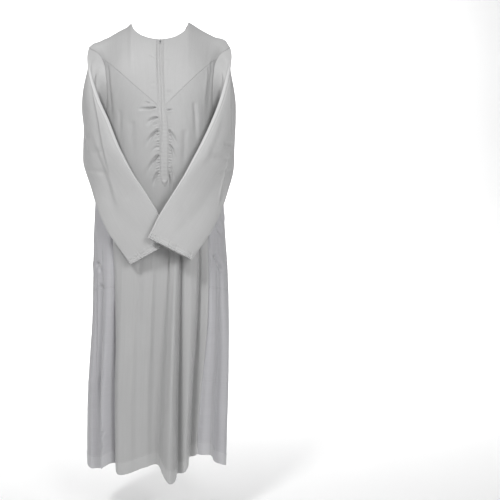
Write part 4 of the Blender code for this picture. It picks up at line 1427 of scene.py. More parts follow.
@dataclass(frozen=True)
class Thread:
    """Machine stitching: short raised stitches in rows along the cloth."""

    pitch: float = 0.0032
    length: float = 0.0026
    width: float = 0.00052
    height: float = 0.00030
    sunk: float = 0.35
    least_size: float = 0.05
    tangent_reach: float = 0.001
    outline: tuple[tuple[float, float], ...] = ((-0.5, 0.0), (-0.28, 0.9), (0.28, 0.9), (0.5, 0.0))

    def stitches(self, path: Path) -> tuple[Array, Array]:
        """One row of stitches along a path.

        Args:
            path: Line of the row.

        Returns:
            The vertices and the faces.
        """
        steps = np.linalg.norm(np.diff(path.points, axis=0), axis=1)
        run = np.concatenate([[0.0], np.cumsum(steps)])
        count = max(int(run[-1] / self.pitch), 1)
        middles = (np.arange(count) + 0.5) * run[-1] / count

        def at(values: Array, where: Array) -> Array:
            """Values along the path, at distances from its start."""
            where = np.clip(where, 0.0, run[-1])
            return np.stack([np.interp(where, run, values[:, k]) for k in range(3)], axis=-1)

        normal = at(path.normals, middles)
        ahead = at(path.points, middles + self.tangent_reach)
        side = np.cross(normal, ahead - at(path.points, middles - self.tangent_reach))
        side /= np.maximum(np.linalg.norm(side, axis=1, keepdims=True), TINY)
        rings = []
        for offset, size in self.outline:
            middle = at(path.points, middles + offset * self.length)
            middle = middle + normal * self.height * (size - self.sunk)
            half = side * self.width * 0.5 * max(size, self.least_size)
            rise = normal * self.height * max(size, self.least_size)
            corners = [middle - half, middle + rise, middle + half, middle - rise]
            rings.append(np.stack(corners, axis=1))
        faces = np.concatenate([
            tube_faces(len(rings), 4),
            [np.arange(4)[::-1], np.arange(4) + 4 * (len(rings) - 1)],
        ])
        faces = faces + (4 * len(rings) * np.arange(count))[:, None, None]
        return np.stack(rings, axis=1).reshape(-1, 3), faces.reshape(-1, 4)

    def sew(
        self, name: str, paths: Sequence[Path], material: bpy.types.Material, slot: str
    ) -> bpy.types.Object:
        """Makes one object of several rows of stitches.

        Args:
            name: Name of the object.
            paths: Line of each row.
            material: Finish of the thread.
            slot: Not used.

        Returns:
            The stitches, riding on the root body.
        """
        points, faces, count = [], [], 0
        for path in paths:
            some_points, some_faces = self.stitches(path)
            points.append(some_points)
            faces.append(some_faces + count)
            count += len(some_points)
        made = mesh_object(name, np.concatenate(points), np.concatenate(faces), material)
        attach(made, ROOT)
        log.info("%s: %d rows of stitches", name, len(paths))
        return made


@dataclass(frozen=True)
class Kit:
    """Finishes and thread that every piece is dressed with."""

    main: bpy.types.Material
    yoke: bpy.types.Material
    sleeve: bpy.types.Material
    gore: bpy.types.Material
    cotton: bpy.types.Material
    thread: bpy.types.Material
    metal: bpy.types.Material
    stitch: Thread = Thread()


def with_edges(shares: Array, width: float) -> Array:
    """Adds grid lines close to both ends, so that a rolled edge is round.

    Args:
        shares: Grid lines from 0 to 1.
        width: What 1 stands for, in metres.

    Returns:
        All lines, in order.
    """
    close = np.array(EDGE_LINES) / width
    inner = shares[(shares > 2 * close[-1]) & (shares < 1 - 2 * close[-1])]
    lines = np.concatenate([[0.0], close, inner, 1 - close[::-1], [1.0]])
    return np.unique(np.round(lines, 7))


@dataclass
class Front:
    """Front panel from the V-shaped seam down to the hem, with the yoke halves above it."""

    body: Body
    under_fly: float = 0.0024
    under_fly_half: float = 0.0112
    under_fly_fade: float = 0.003
    under_fly_end: float = 0.012
    seam_gap: float = 0.0001
    seam_tuck: float = 0.00035
    seam_reach: float = 0.0012
    armpit_tuck: float = 0.0009
    neck_tuck: float = 0.0011
    neck_reach: float = 0.0020
    slit_end_z: float = -0.480
    slit_columns: tuple[float, ...] = (0.0185, 0.05)
    fly_lines: int = 22
    gather_side: float = 0.30
    plain_lines: int = 56
    plain_side: float = 0.97
    edge_columns: tuple[float, ...] = (0.9800, 0.9872, 0.9924, 0.9966, 1.0)
    row_ends_z: tuple[float, ...] = (-0.585, -0.575, -0.510, -0.505, -0.325, -0.323)
    row_counts: tuple[int, ...] = (60, 12, 124, 10)
    chest_lines: int = 50
    seam_rows: tuple[float, ...] = (0.972, 0.985, 0.993, 1.0)
    yoke_lines: int = 72
    yoke_height: float = 0.25
    yoke_row: float = 0.0022

    def half_columns(self) -> Array:
        """Grid columns of one half: close together beside the fly, where the gathers are."""
        near = np.linspace(self.body.fly_column, self.gather_side, self.fly_lines)
        plain = np.linspace(self.gather_side, self.plain_side, self.plain_lines)[1:]
        return np.concatenate([self.slit_columns, near, plain, self.edge_columns])

    def skirt_levels(self) -> Array:
        """Grid rows below the underarm, close together beside the gathers.

        Returns:
            Their levels, from the hem up.
        """
        body = self.body
        ends = [body.hem_z + SKIRT_START, *self.row_ends_z, body.underarm_z]
        stretches = zip(ends[::2], ends[1::2], self.row_counts)
        rows = [np.linspace(*stretch) for stretch in stretches]
        return np.concatenate([body.hem_levels, *rows])

    def sink(self, cut: Cut) -> None:
        """Lowers the cloth that lies under the fly, to leave room for its grooves.

        Args:
            cut: The cloth.
        """
        x, z = cut.points[..., 0], cut.points[..., 2]
        away = np.abs(x - along(CENTRE_DRIFT, "value", z))
        inside = ease((self.under_fly_half - away) / self.under_fly_fade)
        cut.raise_by(-self.under_fly * inside * (z > self.body.fly_end_z + self.under_fly_end))

    def chest_angle(self, column: Array) -> Array:
        """Angle of a column above the underarm."""
        body = self.body
        return body.spread(column, body.armhole_angle - body.edge_turn, body.underarm_z)

    def panel(self, kit: Kit) -> None:
        """Builds the front panel with its hem.

        Args:
            kit: Finishes and thread.
        """
        body = self.body
        half = self.half_columns()
        columns = np.concatenate([-half[::-1], half])
        level = self.skirt_levels()[:, None]
        far_angle = body.seam_angle(Seam.FRONT, level) - body.edge_turn
        low = body.point(body.spread(columns[None], far_angle, level), level)
        angle = self.chest_angle(columns)
        share = np.concatenate([np.linspace(0.0, 1.0, self.chest_lines)[1:-2], self.seam_rows])
        top_level = body.yoke_level(angle) - self.seam_gap
        level = body.underarm_z + (top_level - body.underarm_z)[None] * share[:, None]
        cut = Cut("front_cloth", np.concatenate([low, body.point(angle[None], level)]))
        self.sink(cut)
        cut.tuck([Edge.TOP], self.seam_tuck, self.seam_reach)
        below = cut.points[..., 2] < body.underarm_z
        cut.tuck([Edge.FIRST, Edge.LAST], np.where(below, self.armpit_tuck, self.seam_tuck))
        hem_row = cut.hem(body.hem_width)
        middle = len(half) - 1
        keep = np.ones((len(cut.points) - 1, len(columns) - 1), bool)
        keep[:, middle] = cut.points[:-1, len(half), 2] < self.slit_end_z
        made = cut.sew(kit.main, "main_cloth", "front", keep)
        hem = kit.stitch.sew("front_hem_stitching", [hem_row], kit.thread, "main_cloth")

    def yoke(self, side: Side, kit: Kit) -> None:
        """Builds one half of the yoke, with the stitching beside its seam.

        Args:
            side: Half to build.
            kit: Finishes and thread.
        """
        body = self.body
        half = self.half_columns()
        angle = side.value * self.chest_angle(half)
        low = body.yoke_level(angle) + self.seam_gap
        top = body.neck_level(angle, Half.FRONT)
        share = np.sin(0.5 * math.pi * np.linspace(0.0, 1.0, self.yoke_lines))
        share = with_edges(share, self.yoke_height)[:, None]
        level = low[None] + (top - low)[None] * share
        grid = body.point(angle[None], level)
        word = f"yoke_{side.word}"
        cut = Cut(f"{word}_cloth", grid if side is Side.LEFT else grid[:, ::-1])
        self.sink(cut)
        outer = Edge.LAST if side is Side.LEFT else Edge.FIRST
        cut.tuck([Edge.LOW, outer], self.seam_tuck, self.seam_reach)
        cut.tuck([Edge.TOP], self.neck_tuck, self.neck_reach)
        made = cut.sew(kit.yoke, "yoke_cloth", word)
        row = cut.beside(Edge.LOW, self.yoke_row)
        stitching = kit.stitch.sew(f"{word}_stitching", [row], kit.thread, "yoke_cloth")


@dataclass
class Back:
    """Back panel from the neck and shoulders to the hem."""

    body: Body
    columns: int = 74
    width: float = 0.34
    skirt_lines: int = 130
    top_lines: int = 66
    top_height: float = 0.32

    def build(self, kit: Kit) -> None:
        """Builds the back with its hem.

        Args:
            kit: Finishes and thread.
        """
        body = self.body
        share = with_edges(np.linspace(0.0, 1.0, self.columns), self.width)
        half = share[share >= 0.5] * 2.0 - 1.0
        columns = np.concatenate([-half[::-1], half])
        skirt = np.linspace(body.hem_z + SKIRT_START, body.underarm_z, self.skirt_lines)
        rise = np.sin(0.5 * math.pi * np.linspace(0.0, 1.0, self.top_lines))
        rise = with_edges(rise, self.top_height)[1:]
        levels = [body.hem_levels, skirt, body.underarm_z * (1.0 - rise)]
        level = np.concatenate(levels)[:, None]
        turn = math.pi - body.seam_angle(Seam.BACK, level) - body.edge_turn
        angle = math.pi - columns[None] * turn
        top = body.neck_level(angle[-1], Half.BACK)[None]
        drawn = body.underarm_z + (top - body.underarm_z) * (1.0 - level / body.underarm_z)
        level = np.where(level > body.underarm_z, drawn, level)
        grid = body.point(angle, level)
        cut = Cut("back_cloth", grid[:, ::-1])
        cut.tuck([Edge.FIRST, Edge.LAST, Edge.TOP])
        hem_row = cut.hem(body.hem_width)
        made = cut.sew(kit.main, "main_cloth", "back")
        hem = kit.stitch.sew("back_hem_stitching", [hem_row], kit.thread, "main_cloth")


@dataclass
class Gore:
    """Side gore between two lengthwise seams, from the underarm to the hem."""

    body: Body
    side: Side
    first: Seam
    last: Seam
    pocket_top_z: float = -0.700
    pocket_end_z: float = -0.860
    pocket_gape: float = 0.0025
    pocket_lines_z: tuple[float, float] = (-0.842, -0.820)
    pocket_line_gap: float = 0.004
    pocket_line_ends: tuple[float, float] = (0.96, 0.06)
    pocket_line_steps: int = 40
    seam_row: float = 0.0030
    lines: int = 150
    top_clear: float = 0.006
    top_lines: tuple[float, ...] = (0.0035, 0.0018, 0.0009, 0.0003)
    columns: int = 34
    width: float = 0.16
    gap_stretch: float = 1.6

    def mouth(self, level: Array) -> Array:
        """How far the pocket mouth parts the side seam at a level."""
        share = (self.pocket_top_z - level) / (self.pocket_top_z - self.pocket_end_z)
        return self.pocket_gape * np.sin(math.pi * np.clip(share, 0.0, 1.0))

    def build(self, kit: Kit) -> None:
        """Builds the gore, its hem, its seam stitching and the pocket's stitched edge.

        Args:
            kit: Finishes and thread.
        """
        body = self.body
        name = "front" if self.first is Seam.FRONT else "back"
        left = self.side is Side.LEFT
        word = f"gore_{name}_{self.side.word}"
        cut = Cut(f"{word}_cloth", self.grid() if left else self.grid()[:, ::-1])
        cut.tuck([Edge.FIRST, Edge.LAST, Edge.TOP])
        rows = [cut.hem(body.hem_width)]
        made = cut.sew(kit.gore, "main_cloth", word)
        side_edge = Edge.LAST if (name == "front") == left else Edge.FIRST
        seam_row = cut.beside(side_edge, self.seam_row)
        z = seam_row.points[:, 2]
        at_mouth = (z < self.pocket_top_z) & (z > self.pocket_end_z)
        rows.append(Path(seam_row.points[at_mouth], seam_row.normals[at_mouth]))
        if name == "front":
            rows += self.pocket_rows(cut, left)
        stitching = kit.stitch.sew(f"{word}_stitching", rows, kit.thread, "main_cloth")

    def grid(self) -> Array:
        """Grid of the gore.

        Returns:
            Its points, from its first seam to its last.
        """
        body = self.body
        end = body.underarm_z - self.top_clear
        lines = np.linspace(body.hem_z + SKIRT_START, end, self.lines)
        top_lines = body.underarm_z - np.array(self.top_lines)
        level = np.concatenate([body.hem_levels, lines, top_lines])[:, None]
        share = with_edges(np.linspace(0.0, 1.0, self.columns), self.width)[None]
        gaps = [
            0.5 * body.seam_gap + (self.mouth(level) if seam is Seam.SIDE else 0.0)
            for seam in (self.first, self.last)
        ]
        start = body.seam_angle(self.first, level) + gaps[0] / body.reach(level) * self.gap_stretch
        end = body.seam_angle(self.last, level) - gaps[1] / body.reach(level) * self.gap_stretch
        return body.point(self.side.value * (start + (end - start) * share), level)

    def pocket_rows(self, cut: Cut, left: bool) -> list[Path]:
        """Two rows of stitching that hold the pocket bag to the gore.

        Args:
            cut: The gore.
            left: Whether it is on the wearer's left.

        Returns:
            The lines of both rows.
        """
        rows, columns = cut.points.shape[:2]
        heights = cut.points[:, columns // 2, 2]
        steps = np.linspace(0.0, 1.0, self.pocket_line_steps)
        ends = np.array(self.pocket_line_ends)
        start, end = ends if left else 1.0 - ends
        found = []
        for drop in (0.0, self.pocket_line_gap):
            levels = np.array(self.pocket_lines_z) - drop
            ends = np.interp(levels, heights, np.arange(rows, dtype=float))
            across = (columns - 1) * (start + (end - start) * steps)
            found.append(cut.trace(ends[0] + (ends[1] - ends[0]) * steps, across))
        return found


class Groove(NamedTuple):
    """One level of a groove down the fly: height, sideways place and depth as a share."""

    z: float
    x: float
    share: float


FLY_GROOVES = (
    (
        Groove(-0.050, -0.0103, 1.0), Groove(-0.130, -0.0098, 1.0), Groove(-0.215, -0.0076, 0.9),
        Groove(-0.262, -0.0070, 0.5), Groove(-0.285, -0.0070, 0.0), Groove(-0.520, -0.0070, 0.0),
    ),
    (
        Groove(-0.050, -0.0030, 1.0), Groove(-0.130, -0.0021, 1.0), Groove(-0.215, 0.0008, 1.0),
        Groove(-0.262, -0.0012, 1.0), Groove(-0.300, -0.0038, 1.0), Groove(-0.340, -0.0048, 0.4),
        Groove(-0.360, -0.0048, 0.0), Groove(-0.520, -0.0048, 0.0),
    ),
    (
        Groove(-0.050, 0.0046, 0.9), Groove(-0.130, 0.0054, 1.0), Groove(-0.215, 0.0082, 0.9),
        Groove(-0.262, 0.0066, 0.6), Groove(-0.300, 0.0052, 0.5), Groove(-0.340, 0.0050, 0.2),
        Groove(-0.360, 0.0050, 0.0), Groove(-0.520, 0.0050, 0.0),
    ),
)


@dataclass
class Fly:
    """Strip that covers the front opening: two folded edges that meet over a hidden zip."""

    body: Body
    lift: float = 0.0016
    lift_edge: float = 0.0018
    lift_above_seam: float = 0.2
    lift_fade: float = 0.05
    tip_z: float = -0.455
    tip_drop: float = 0.6
    tip_fade: float = 0.03
    groove_depth: float = 0.0017
    groove_reach: float = 0.0010
    ridge_height: float = 0.0009
    ridge_reach: float = 0.0011
    ridge_shift: float = 0.0020
    stitch_rows: tuple[float, ...] = (-0.0106, 0.0104)
    stitch_depth: float = 0.00020
    stitch_reach: float = 0.0010
    stitch_clear: float = 0.0015
    bulge_z: float = -0.494
    bulge_height: float = 0.0030
    bulge_reach: float = 0.009
    bulge_edge: float = 0.006
    ripple_height: float = 0.00022
    ripple_pitch: float = 0.0115
    ripple_edge: float = 0.002
    bar_z: float = -0.484
    bar_margin: float = 0.1
    bar_steps: int = 12
    tip_lines: tuple[float, ...] = (0.0, 0.0006, 0.0014, 0.0026)
    below_seam: tuple[float, float] = (0.005, -0.277)
    lines: tuple[int, int] = (130, 90)
    top_share: float = 0.994
    inner_half: float = 0.94
    inner_columns: int = 57
    edge_columns: tuple[float, ...] = (0.96, 0.985, 1.0)

    def grid(self) -> tuple[Array, Array]:
        """Grid of the strip.

        Returns:
            Its points, and the sideways place of each from the middle of the strip.
        """
        body = self.body
        middle = np.zeros(1)
        seam = body.yoke_level(middle)[0]
        top = body.neck_level(middle, Half.FRONT)[0]
        start, end = self.below_seam
        levels = np.concatenate([
            body.fly_end_z + np.array(self.tip_lines),
            np.linspace(body.fly_end_z + start, end, self.lines[0]),
            seam + (top - seam) * np.linspace(0.0, self.top_share, self.lines[1]),
        ])
        inner = np.linspace(-self.inner_half, self.inner_half, self.inner_columns)
        edge = np.array(self.edge_columns)
        offsets = np.unique(np.round(np.concatenate([-edge, inner, edge]), 5))
        z = body.point(np.zeros(len(levels)), levels)[:, 2]
        place = offsets[None] * along(FLY, "value", z)[:, None]
        return body.point(place / body.reach(levels)[:, None], levels[:, None]), place

    def height(self, z: Array, place: Array, edge: Array) -> Array:
        """How far the strip stands out from the body.

        Args:
            z: Heights of the grid's points.
            place: Their sideways places from the middle of the strip.
            edge: Their distances from the nearer edge.

        Returns:
            The height of each point, in metres.
        """
        shown = ease((self.body.yoke_point_z - z) / self.lift_fade + 0.5)
        shown = shown * (1.0 - self.tip_drop * ease((self.tip_z - z) / self.tip_fade))
        height = self.lift_above_seam + (1.0 - self.lift_above_seam) * shown
        height = self.lift * height * ease(edge / self.lift_edge + 0.25)
        for groove in FLY_GROOVES:
            away = place - along(groove, "x", z)
            sunk = self.groove_depth * bell(away / self.groove_reach)
            raised = self.ridge_height * bell((away - self.ridge_shift) / self.ridge_reach)
            height = height + along(groove, "share", z) * (raised - sunk)
        for row in self.stitch_rows:
            height = height - self.stitch_depth * bell((place - row) / self.stitch_reach)
        bulge = self.bulge_height * bell((z - self.bulge_z) / self.bulge_reach)
        ripple = self.ripple_height * np.sin(z * TURN / self.ripple_pitch)
        height = height + bulge * ease(edge / self.bulge_edge)
        return height + ripple * ease(edge / self.ripple_edge)

    def rows(self, cut: Cut, place: Array) -> list[Path]:
        """Lines of stitching: one down each side, and a bar across the end of the opening.

        Args:
            cut: The strip.
            place: Sideways places of its points from its middle.

        Returns:
            The lines.
        """
        lines, columns = place.shape
        index, line = np.arange(columns, dtype=float), np.arange(lines, dtype=float)
        found = []
        for row in self.stitch_rows:
            across = np.array([np.interp(row, places, index) for places in place])
            inside = np.abs(row) < np.abs(place[:, 0]) - self.stitch_clear
            found.append(cut.trace(line[inside], across[inside]))
        bar = float(np.argmin(np.abs(cut.points[:, 0, 2] - self.bar_z)))
        ends = (columns - 1) * np.array([self.bar_margin, 1.0 - self.bar_margin])
        found.append(cut.trace(np.full(self.bar_steps, bar), np.linspace(*ends, self.bar_steps)))
        return found

    def build(self, kit: Kit) -> None:
        """Builds the fly with its stitching and the slider of its zip.

        Args:
            kit: Finishes and thread.
        """
        grid, place = self.grid()
        cut = Cut("fly_cloth", grid)
        normals = cut.normals()
        edge = np.minimum(cut.away_from(Edge.FIRST), cut.away_from(Edge.LAST))
        cut.raise_by(self.height(grid[..., 2], place, edge))
        made = cut.sew(kit.yoke, "yoke_cloth", "fly")
        rows = self.rows(cut, place)
        stitching = kit.stitch.sew("fly_stitching", rows, kit.thread, "yoke_cloth")
        parts = Zip().build(grid, normals, kit)


class ZipPart(NamedTuple):
    """Metal part of the zip: its sizes, how far down from the neck it sits, and its lift."""

    name: str
    width: float
    length: float
    thickness: float
    down: float
    raised: float


@dataclass
class Zip:
    """Slider and pull that show at the neck, closed and still."""

    parts: tuple[ZipPart, ...] = (
        ZipPart("zip_slider", 0.0042, 0.0060, 0.0018, 0.0030, 0.0024),
        ZipPart("zip_pull", 0.0026, 0.0090, 0.0008, 0.0085, 0.0038),
    )
    around: int = 20
    corner: float = 0.6
    layers: tuple[tuple[float, float], ...] = ((-0.5, 0.80), (-0.3, 1.0), (0.3, 1.0), (0.5, 0.80))
    neck_row: int = -3
    lower_row: int = -12
    columns_right: int = 2

    def build(self, grid: Array, normals: Array, kit: Kit) -> list[bpy.types.Object]:
        """Builds the parts on the top of the fly.

        Args:
            grid: Points of the fly before its own relief.
            normals: Directions out of the cloth at the same points.
            kit: Finishes.

        Returns:
            The slider and its pull.
        """
        middle = grid.shape[1] // 2 - self.columns_right
        place, out = Vector(grid[self.neck_row, middle]), Vector(normals[self.neck_row, middle])
        down = (Vector(grid[self.lower_row, middle]) - place).normalized()
        side = out.cross(down)
        turn = np.linspace(0.0, TURN, self.around, endpoint=False)
        profile = np.array([[math.cos(a), math.sin(a)] for a in turn])
        profile = np.sign(profile) * np.abs(profile) ** self.corner
        last = self.around * (len(self.layers) - 1)
        ends = [list(range(self.around - 1, -1, -1)), list(range(last, last + self.around))]
        faces = tube_faces(len(self.layers), self.around).tolist() + ends
        made = []
        for part in self.parts:
            points = []
            for layer, inset in self.layers:
                lift = out * (part.raised + layer * part.thickness)
                for x, y in profile * 0.5 * inset:
                    spot = place + down * (part.down + y * part.length)
                    points.append(spot + side * x * part.width + lift)
            item = mesh_object(part.name, np.array(points), faces, kit.metal)
            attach(item, ROOT)
            log.info("%s: %d faces", part.name, len(faces))
            made.append(item)
        return made


@dataclass
class Sleeve:
    """Sleeve: an open tube from the armhole over the bent arm to the hemmed cuff."""

    body: Body
    side: Side
    rings: tuple[Ring, ...]
    furrows: tuple[Furrow, ...]
    drags: tuple[Crease, ...]
    gap: float = 0.0002
    head: float = 0.15
    fold_bulk: float = 0.0045
    head_bulk: float = 0.0040
    head_bulk_end: float = 0.30
    flank_power: float = 1.2
    furrow_rise: float = 4.0
    furrow_fade: float = 3.0
    furrow_lip: float = 0.25
    furrow_lip_off: float = 1.9
    drag_strength: float = 1.5
    dent_clear: float = 3.0
    loop_shares: tuple[float, ...] = (0.0, 0.49, 0.64, 1.0)
    loop_steps: tuple[int, int] = (120, 41)
    girth: float = 0.065
    length: float = 0.72
    slope_step: float = 0.01
    crumple_share: float = 0.8
    crumple_start: float = 0.08
    crumple_shift: float = 2.0
    cuff_width: float = 0.021
    cuff_height: float = 0.0007
    cuff_roll: float = 0.0007
    cuff_reach: float = 0.0012
    cuff_rows: tuple[float, ...] = (0.0035, 0.0100, 0.0165, 0.0195)
    head_tuck: float = 0.0003
    puckers: Ripple = Ripple(0.0060, 90.0, 1.9, 231.0)
    pucker_height: float = 0.00125
    pucker_spread: float = 0.4
    pucker_spread_rate: float = 97.0
    pucker_past: float = 0.005
    pucker_fade: float = 0.006
    row_depth: float = 0.8
    row_reach: float = 0.0011
    side_calm: float = 0.008
    welt_width: float = 0.0023
    welt_edge: float = 0.0009
    welt_height: float = 0.0006
    welt_groove: float = 0.0007
    groove_off: float = 0.0014
    groove_reach: float = 0.0012
    welt_start: float = 0.06
    welt_side: float = -0.05
    turn_steps: tuple[tuple[float, float, float], ...] = (
        (0.0, 8.0, 1.0), (8.0, 150.0, 1.4), (150.0, 330.0, 4.0), (330.0, 360.0, 2.0),
    )
    head_lines: tuple[float, ...] = (0.0, 0.0009, 0.002, 0.0036)
    tube_lines: tuple[float, float, int] = (0.006, 0.968, 118)
    cuff_lines: tuple[float, float, int] = (0.969, 0.998, 22)
    edge_lines: tuple[float, ...] = (0.9988, 1.0)

    @property
    def mirror(self) -> Array:
        """Factors that turn a point of the left sleeve into one of this sleeve."""
        return np.array([self.side.value, 1.0, 1.0])

    def loop(self, share: Array) -> Array:
        """Points on its armhole, as they lie on the left.

        Args:
            share: Shares of a full turn from the shoulder tip.

        Returns:
            One point for each share.
        """
        body, way = self.body, self.side.value
        steps, below_steps = self.loop_steps
        levels = body.underarm_z * (1.0 - np.sin(0.5 * math.pi * np.linspace(0.0, 1.0, steps)))
        turn = math.pi - body.armhole_angle
        behind = body.point(way * turn, levels)[::-1].copy()
        before = body.point(way * body.armhole_angle, levels).copy()
        under = way * np.linspace(turn, body.armhole_angle, below_steps)
        below = body.point(under, body.underarm_z)
        behind[0] = before[-1] = 0.5 * (behind[0] + before[-1])
        found = np.zeros((len(share), 3))
        lines = [behind, below, before]
        for start, end, line in zip(self.loop_shares[:-1], self.loop_shares[1:], lines):
            mine = (share >= start) & (share <= end)
            steps = np.linalg.norm(np.diff(line, axis=0), axis=1)
            run = np.concatenate([[0.0], np.cumsum(steps)])
            wanted = (share[mine] - start) / (end - start) * run[-1]
            found[mine] = np.stack([np.interp(wanted, run, line[:, k]) for k in range(3)], axis=-1)
        return found * self.mirror + np.array([self.gap, 0.0, -self.gap])

    def edges(self, t: Array) -> tuple[Array, Array]:
        """Points of the front crease and the back edge down the sleeve."""
        crease = np.stack([along(self.rings, "crease_" + axis, t) for axis in "xyz"], axis=-1)
        seam = np.stack([along(self.rings, "seam_" + axis, t) for axis in "xyz"], axis=-1)
        return crease, seam

    def dents(self, turn: Array, t: Array) -> Array:
        """How deep the folds and creases of the sleeve sink.

        Args:
            turn: Turns round the sleeve.
            t: Shares of its length.

        Returns:
            The depth at each place.
        """
        total = np.zeros(np.shape(turn))
        for furrow in self.furrows:
            share = (t - furrow.t0) / (furrow.t1 - furrow.t0)
            swing = (furrow.turn1 - furrow.turn0) * np.clip(share, 0.0, 1.0)
            delta = turn_between(turn, np.radians(furrow.turn0 + swing))
            away = delta / np.radians(np.where(delta < 0, furrow.low_side, furrow.high_side))
            dent = bell(away) - self.furrow_lip * bell(away + self.furrow_lip_off)
            set_in, fade = ease(self.furrow_rise * share), ease(self.furrow_fade * (1.0 - share))
            total += furrow.depth * set_in * fade * dent
        for drag in self.drags:
            start = math.radians(drag.u0) * self.girth, drag.v0 * self.length
            end = math.radians(drag.u1) * self.girth, drag.v1 * self.length
            dent = trough(turn * self.girth, t * self.length, start + end, drag.reach)
            total += self.drag_strength * drag.depth * dent
        return total

    def tube(self, turn: Array, t: Array) -> Array:
        """Plain rings of the sleeve with their dents.

        Args:
            turn: Turns round the sleeve.
            t: Shares of its length.

        Returns:
            Points of the sleeve.
        """
        crease, seam = self.edges(t)
        ahead = self.edges(np.minimum(t + self.slope_step, 1.0))
        behind = self.edges(np.maximum(t - self.slope_step, 0.0))
        facing = np.cross(sum(ahead) - sum(behind), seam - crease)
        facing /= np.linalg.norm(facing, axis=-1, keepdims=True)
        side = np.sin(turn)
        way, size = np.sign(side), np.abs(side)
        full = np.where(side >= 0, along(self.rings, "swell", t), -along(self.rings, "tuck", t))
        bulk = self.fold_bulk + self.head_bulk * (1.0 - ease(t / self.head_bulk_end))
        full = full * size**self.flank_power + bulk * way * np.sqrt(size)
        full = full - way * self.dents(turn, t) * ease(self.dent_clear * size)
        share = 0.5 * (1.0 - np.cos(turn))
        drawn = np.stack([along(ARMPIT, axis, t) for axis in "xyz"], axis=-1)
        drawn = drawn * (np.minimum(side, 0.0) ** 2)[..., None]
        return crease + (seam - crease) * share[..., None] + facing * full[..., None] + drawn

    def columns(self) -> Array:
        """Grid columns, close together at the front crease and the sharp folds.

        Returns:
            Their turns, in radians.
        """
        lines = [
            np.linspace(start, end, round((end - start) / step), endpoint=False)
            for start, end, step in self.turn_steps
        ]
        return np.radians(np.concatenate(lines))

    def welt(self, turn: Array, t: Array) -> tuple[Array, Array]:
        """Narrow pressed strip along the front crease, with a groove beside it; its share also
        paints a highlight into the cloth's colour.

        Args:
            turn: Turns round the sleeve.
            t: Shares of its length.

        Returns:
            The shares of the strip and of the groove.
        """
        crease, seam = self.edges(t)
        from_crease = np.linalg.norm(seam - crease, axis=-1) * 0.5 * (1.0 - np.cos(turn))
        strip = ease((self.welt_width - from_crease) / self.welt_edge + 0.5)
        groove = bell((from_crease - self.welt_width - self.groove_off) / self.groove_reach)
        here = ease(t / self.welt_start) * (np.sin(turn) > self.welt_side)
        return strip * here, groove * here

    def build(self, kit: Kit) -> None:
        """Builds the sleeve with its cuff stitching.

        Args:
            kit: Finishes and thread.
        """
        word = self.side.word
        turn = self.columns()
        tube, cuff = np.linspace(*self.tube_lines), np.linspace(*self.cuff_lines)
        t = np.concatenate([self.head_lines, tube, cuff, self.edge_lines])
        turns, ts = np.meshgrid(turn, t)
        missing = self.loop(turn / TURN)[None] - self.tube(turn[None], np.zeros((1, len(turn))))
        grid = self.tube(turns, ts) + missing * (1.0 - ease(ts / self.head))[..., None]
        shift = self.crumple_shift * self.side.value
        across, down = turns * self.girth, ts * self.length + shift
        crumple = sum(crumple.at(across, down) for crumple in self.body.crumples)
        here = np.abs(np.sin(turns)) * ease(ts / self.crumple_start) * self.crumple_share
        press_and_highlight, groove = self.welt(turns, ts)
        height = crumple * here + self.welt_height * press_and_highlight - self.welt_groove * groove
        way = slice(None) if self.side is Side.LEFT else slice(None, None, -1)
        grid, height, press_and_highlight = (values[::-1, way] for values in (grid * self.mirror, height, press_and_highlight))
        cut = Cut(f"sleeve_{word}_cloth", grid, wrap=True)
        cut.raise_by(height)
        # The strip's mask also lightens the cloth's colour there: a painted highlight along the
        # crease.
        cut.bands["press_and_highlight"] = press_and_highlight
        cut.tuck([Edge.TOP], self.head_tuck, self.cuff_reach)
        cut.step(Edge.LOW, self.cuff_width, self.cuff_height)
        self.pucker(cut)
        cut.tuck([Edge.LOW], self.cuff_roll, self.cuff_reach)
        made = cut.sew(kit.sleeve, "main_cloth", f"sleeve_{word}")
        rows = [self.closed(cut, distance) for distance in self.cuff_rows]
        stitching = kit.stitch.sew(f"sleeve_{word}_stitching", rows, kit.thread, "main_cloth")

    def pucker(self, cut: Cut) -> None:
        """Draws the cuff in along its rows of stitching, with small ripples between them.

        Args:
            cut: The sleeve.
        """
        away, across = cut.away_from(Edge.LOW), cut.away_from(Edge.FIRST)
        rows = sum(bell((away - row) / self.row_reach) for row in self.cuff_rows)
        spread = self.pucker_spread * np.sin(across * self.pucker_spread_rate)
        fade = ease((self.cuff_width + self.pucker_past - away) / self.pucker_fade)
        width = across.max(axis=1, keepdims=True)
        share = across / width
        from_fold = np.minimum(np.abs((share + 0.5) % 1.0 - 0.5), np.abs(share - 0.5)) * width
        ripple = self.puckers.at(across, away) * (1.0 - self.pucker_spread + spread) * fade
        height = self.pucker_height * (ripple - self.row_depth * rows)
        cut.raise_by(height * ease(from_fold / self.side_calm))

    def closed(self, cut: Cut, distance: float) -> Path:
        """Row round the whole cuff at one distance from its edge."""
        path = cut.beside(Edge.LOW, distance)
        return Path(*(np.concatenate([values, values[:1]]) for values in path))


@dataclass
class Pockets:
    """Cotton pocket bags inside the side seams."""

    def dress(self, kit: Kit) -> None:
        """Gives both bags their finish.

        Args:
            kit: Finishes and thread.
        """
        for side in Side:
            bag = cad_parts[f"pocket_{side.word}"]
            bag.data.materials.clear()
            bag.data.materials.append(kit.cotton)
            log.info("pocket_%s dressed", side.word)


class Lamp(NamedTuple):
    """Soft square light: where it stands, the length of its sides, its power and what it faces."""

    name: str
    place: tuple[float, float, float]
    size: float
    power: float
    aim: tuple[float, float, float]


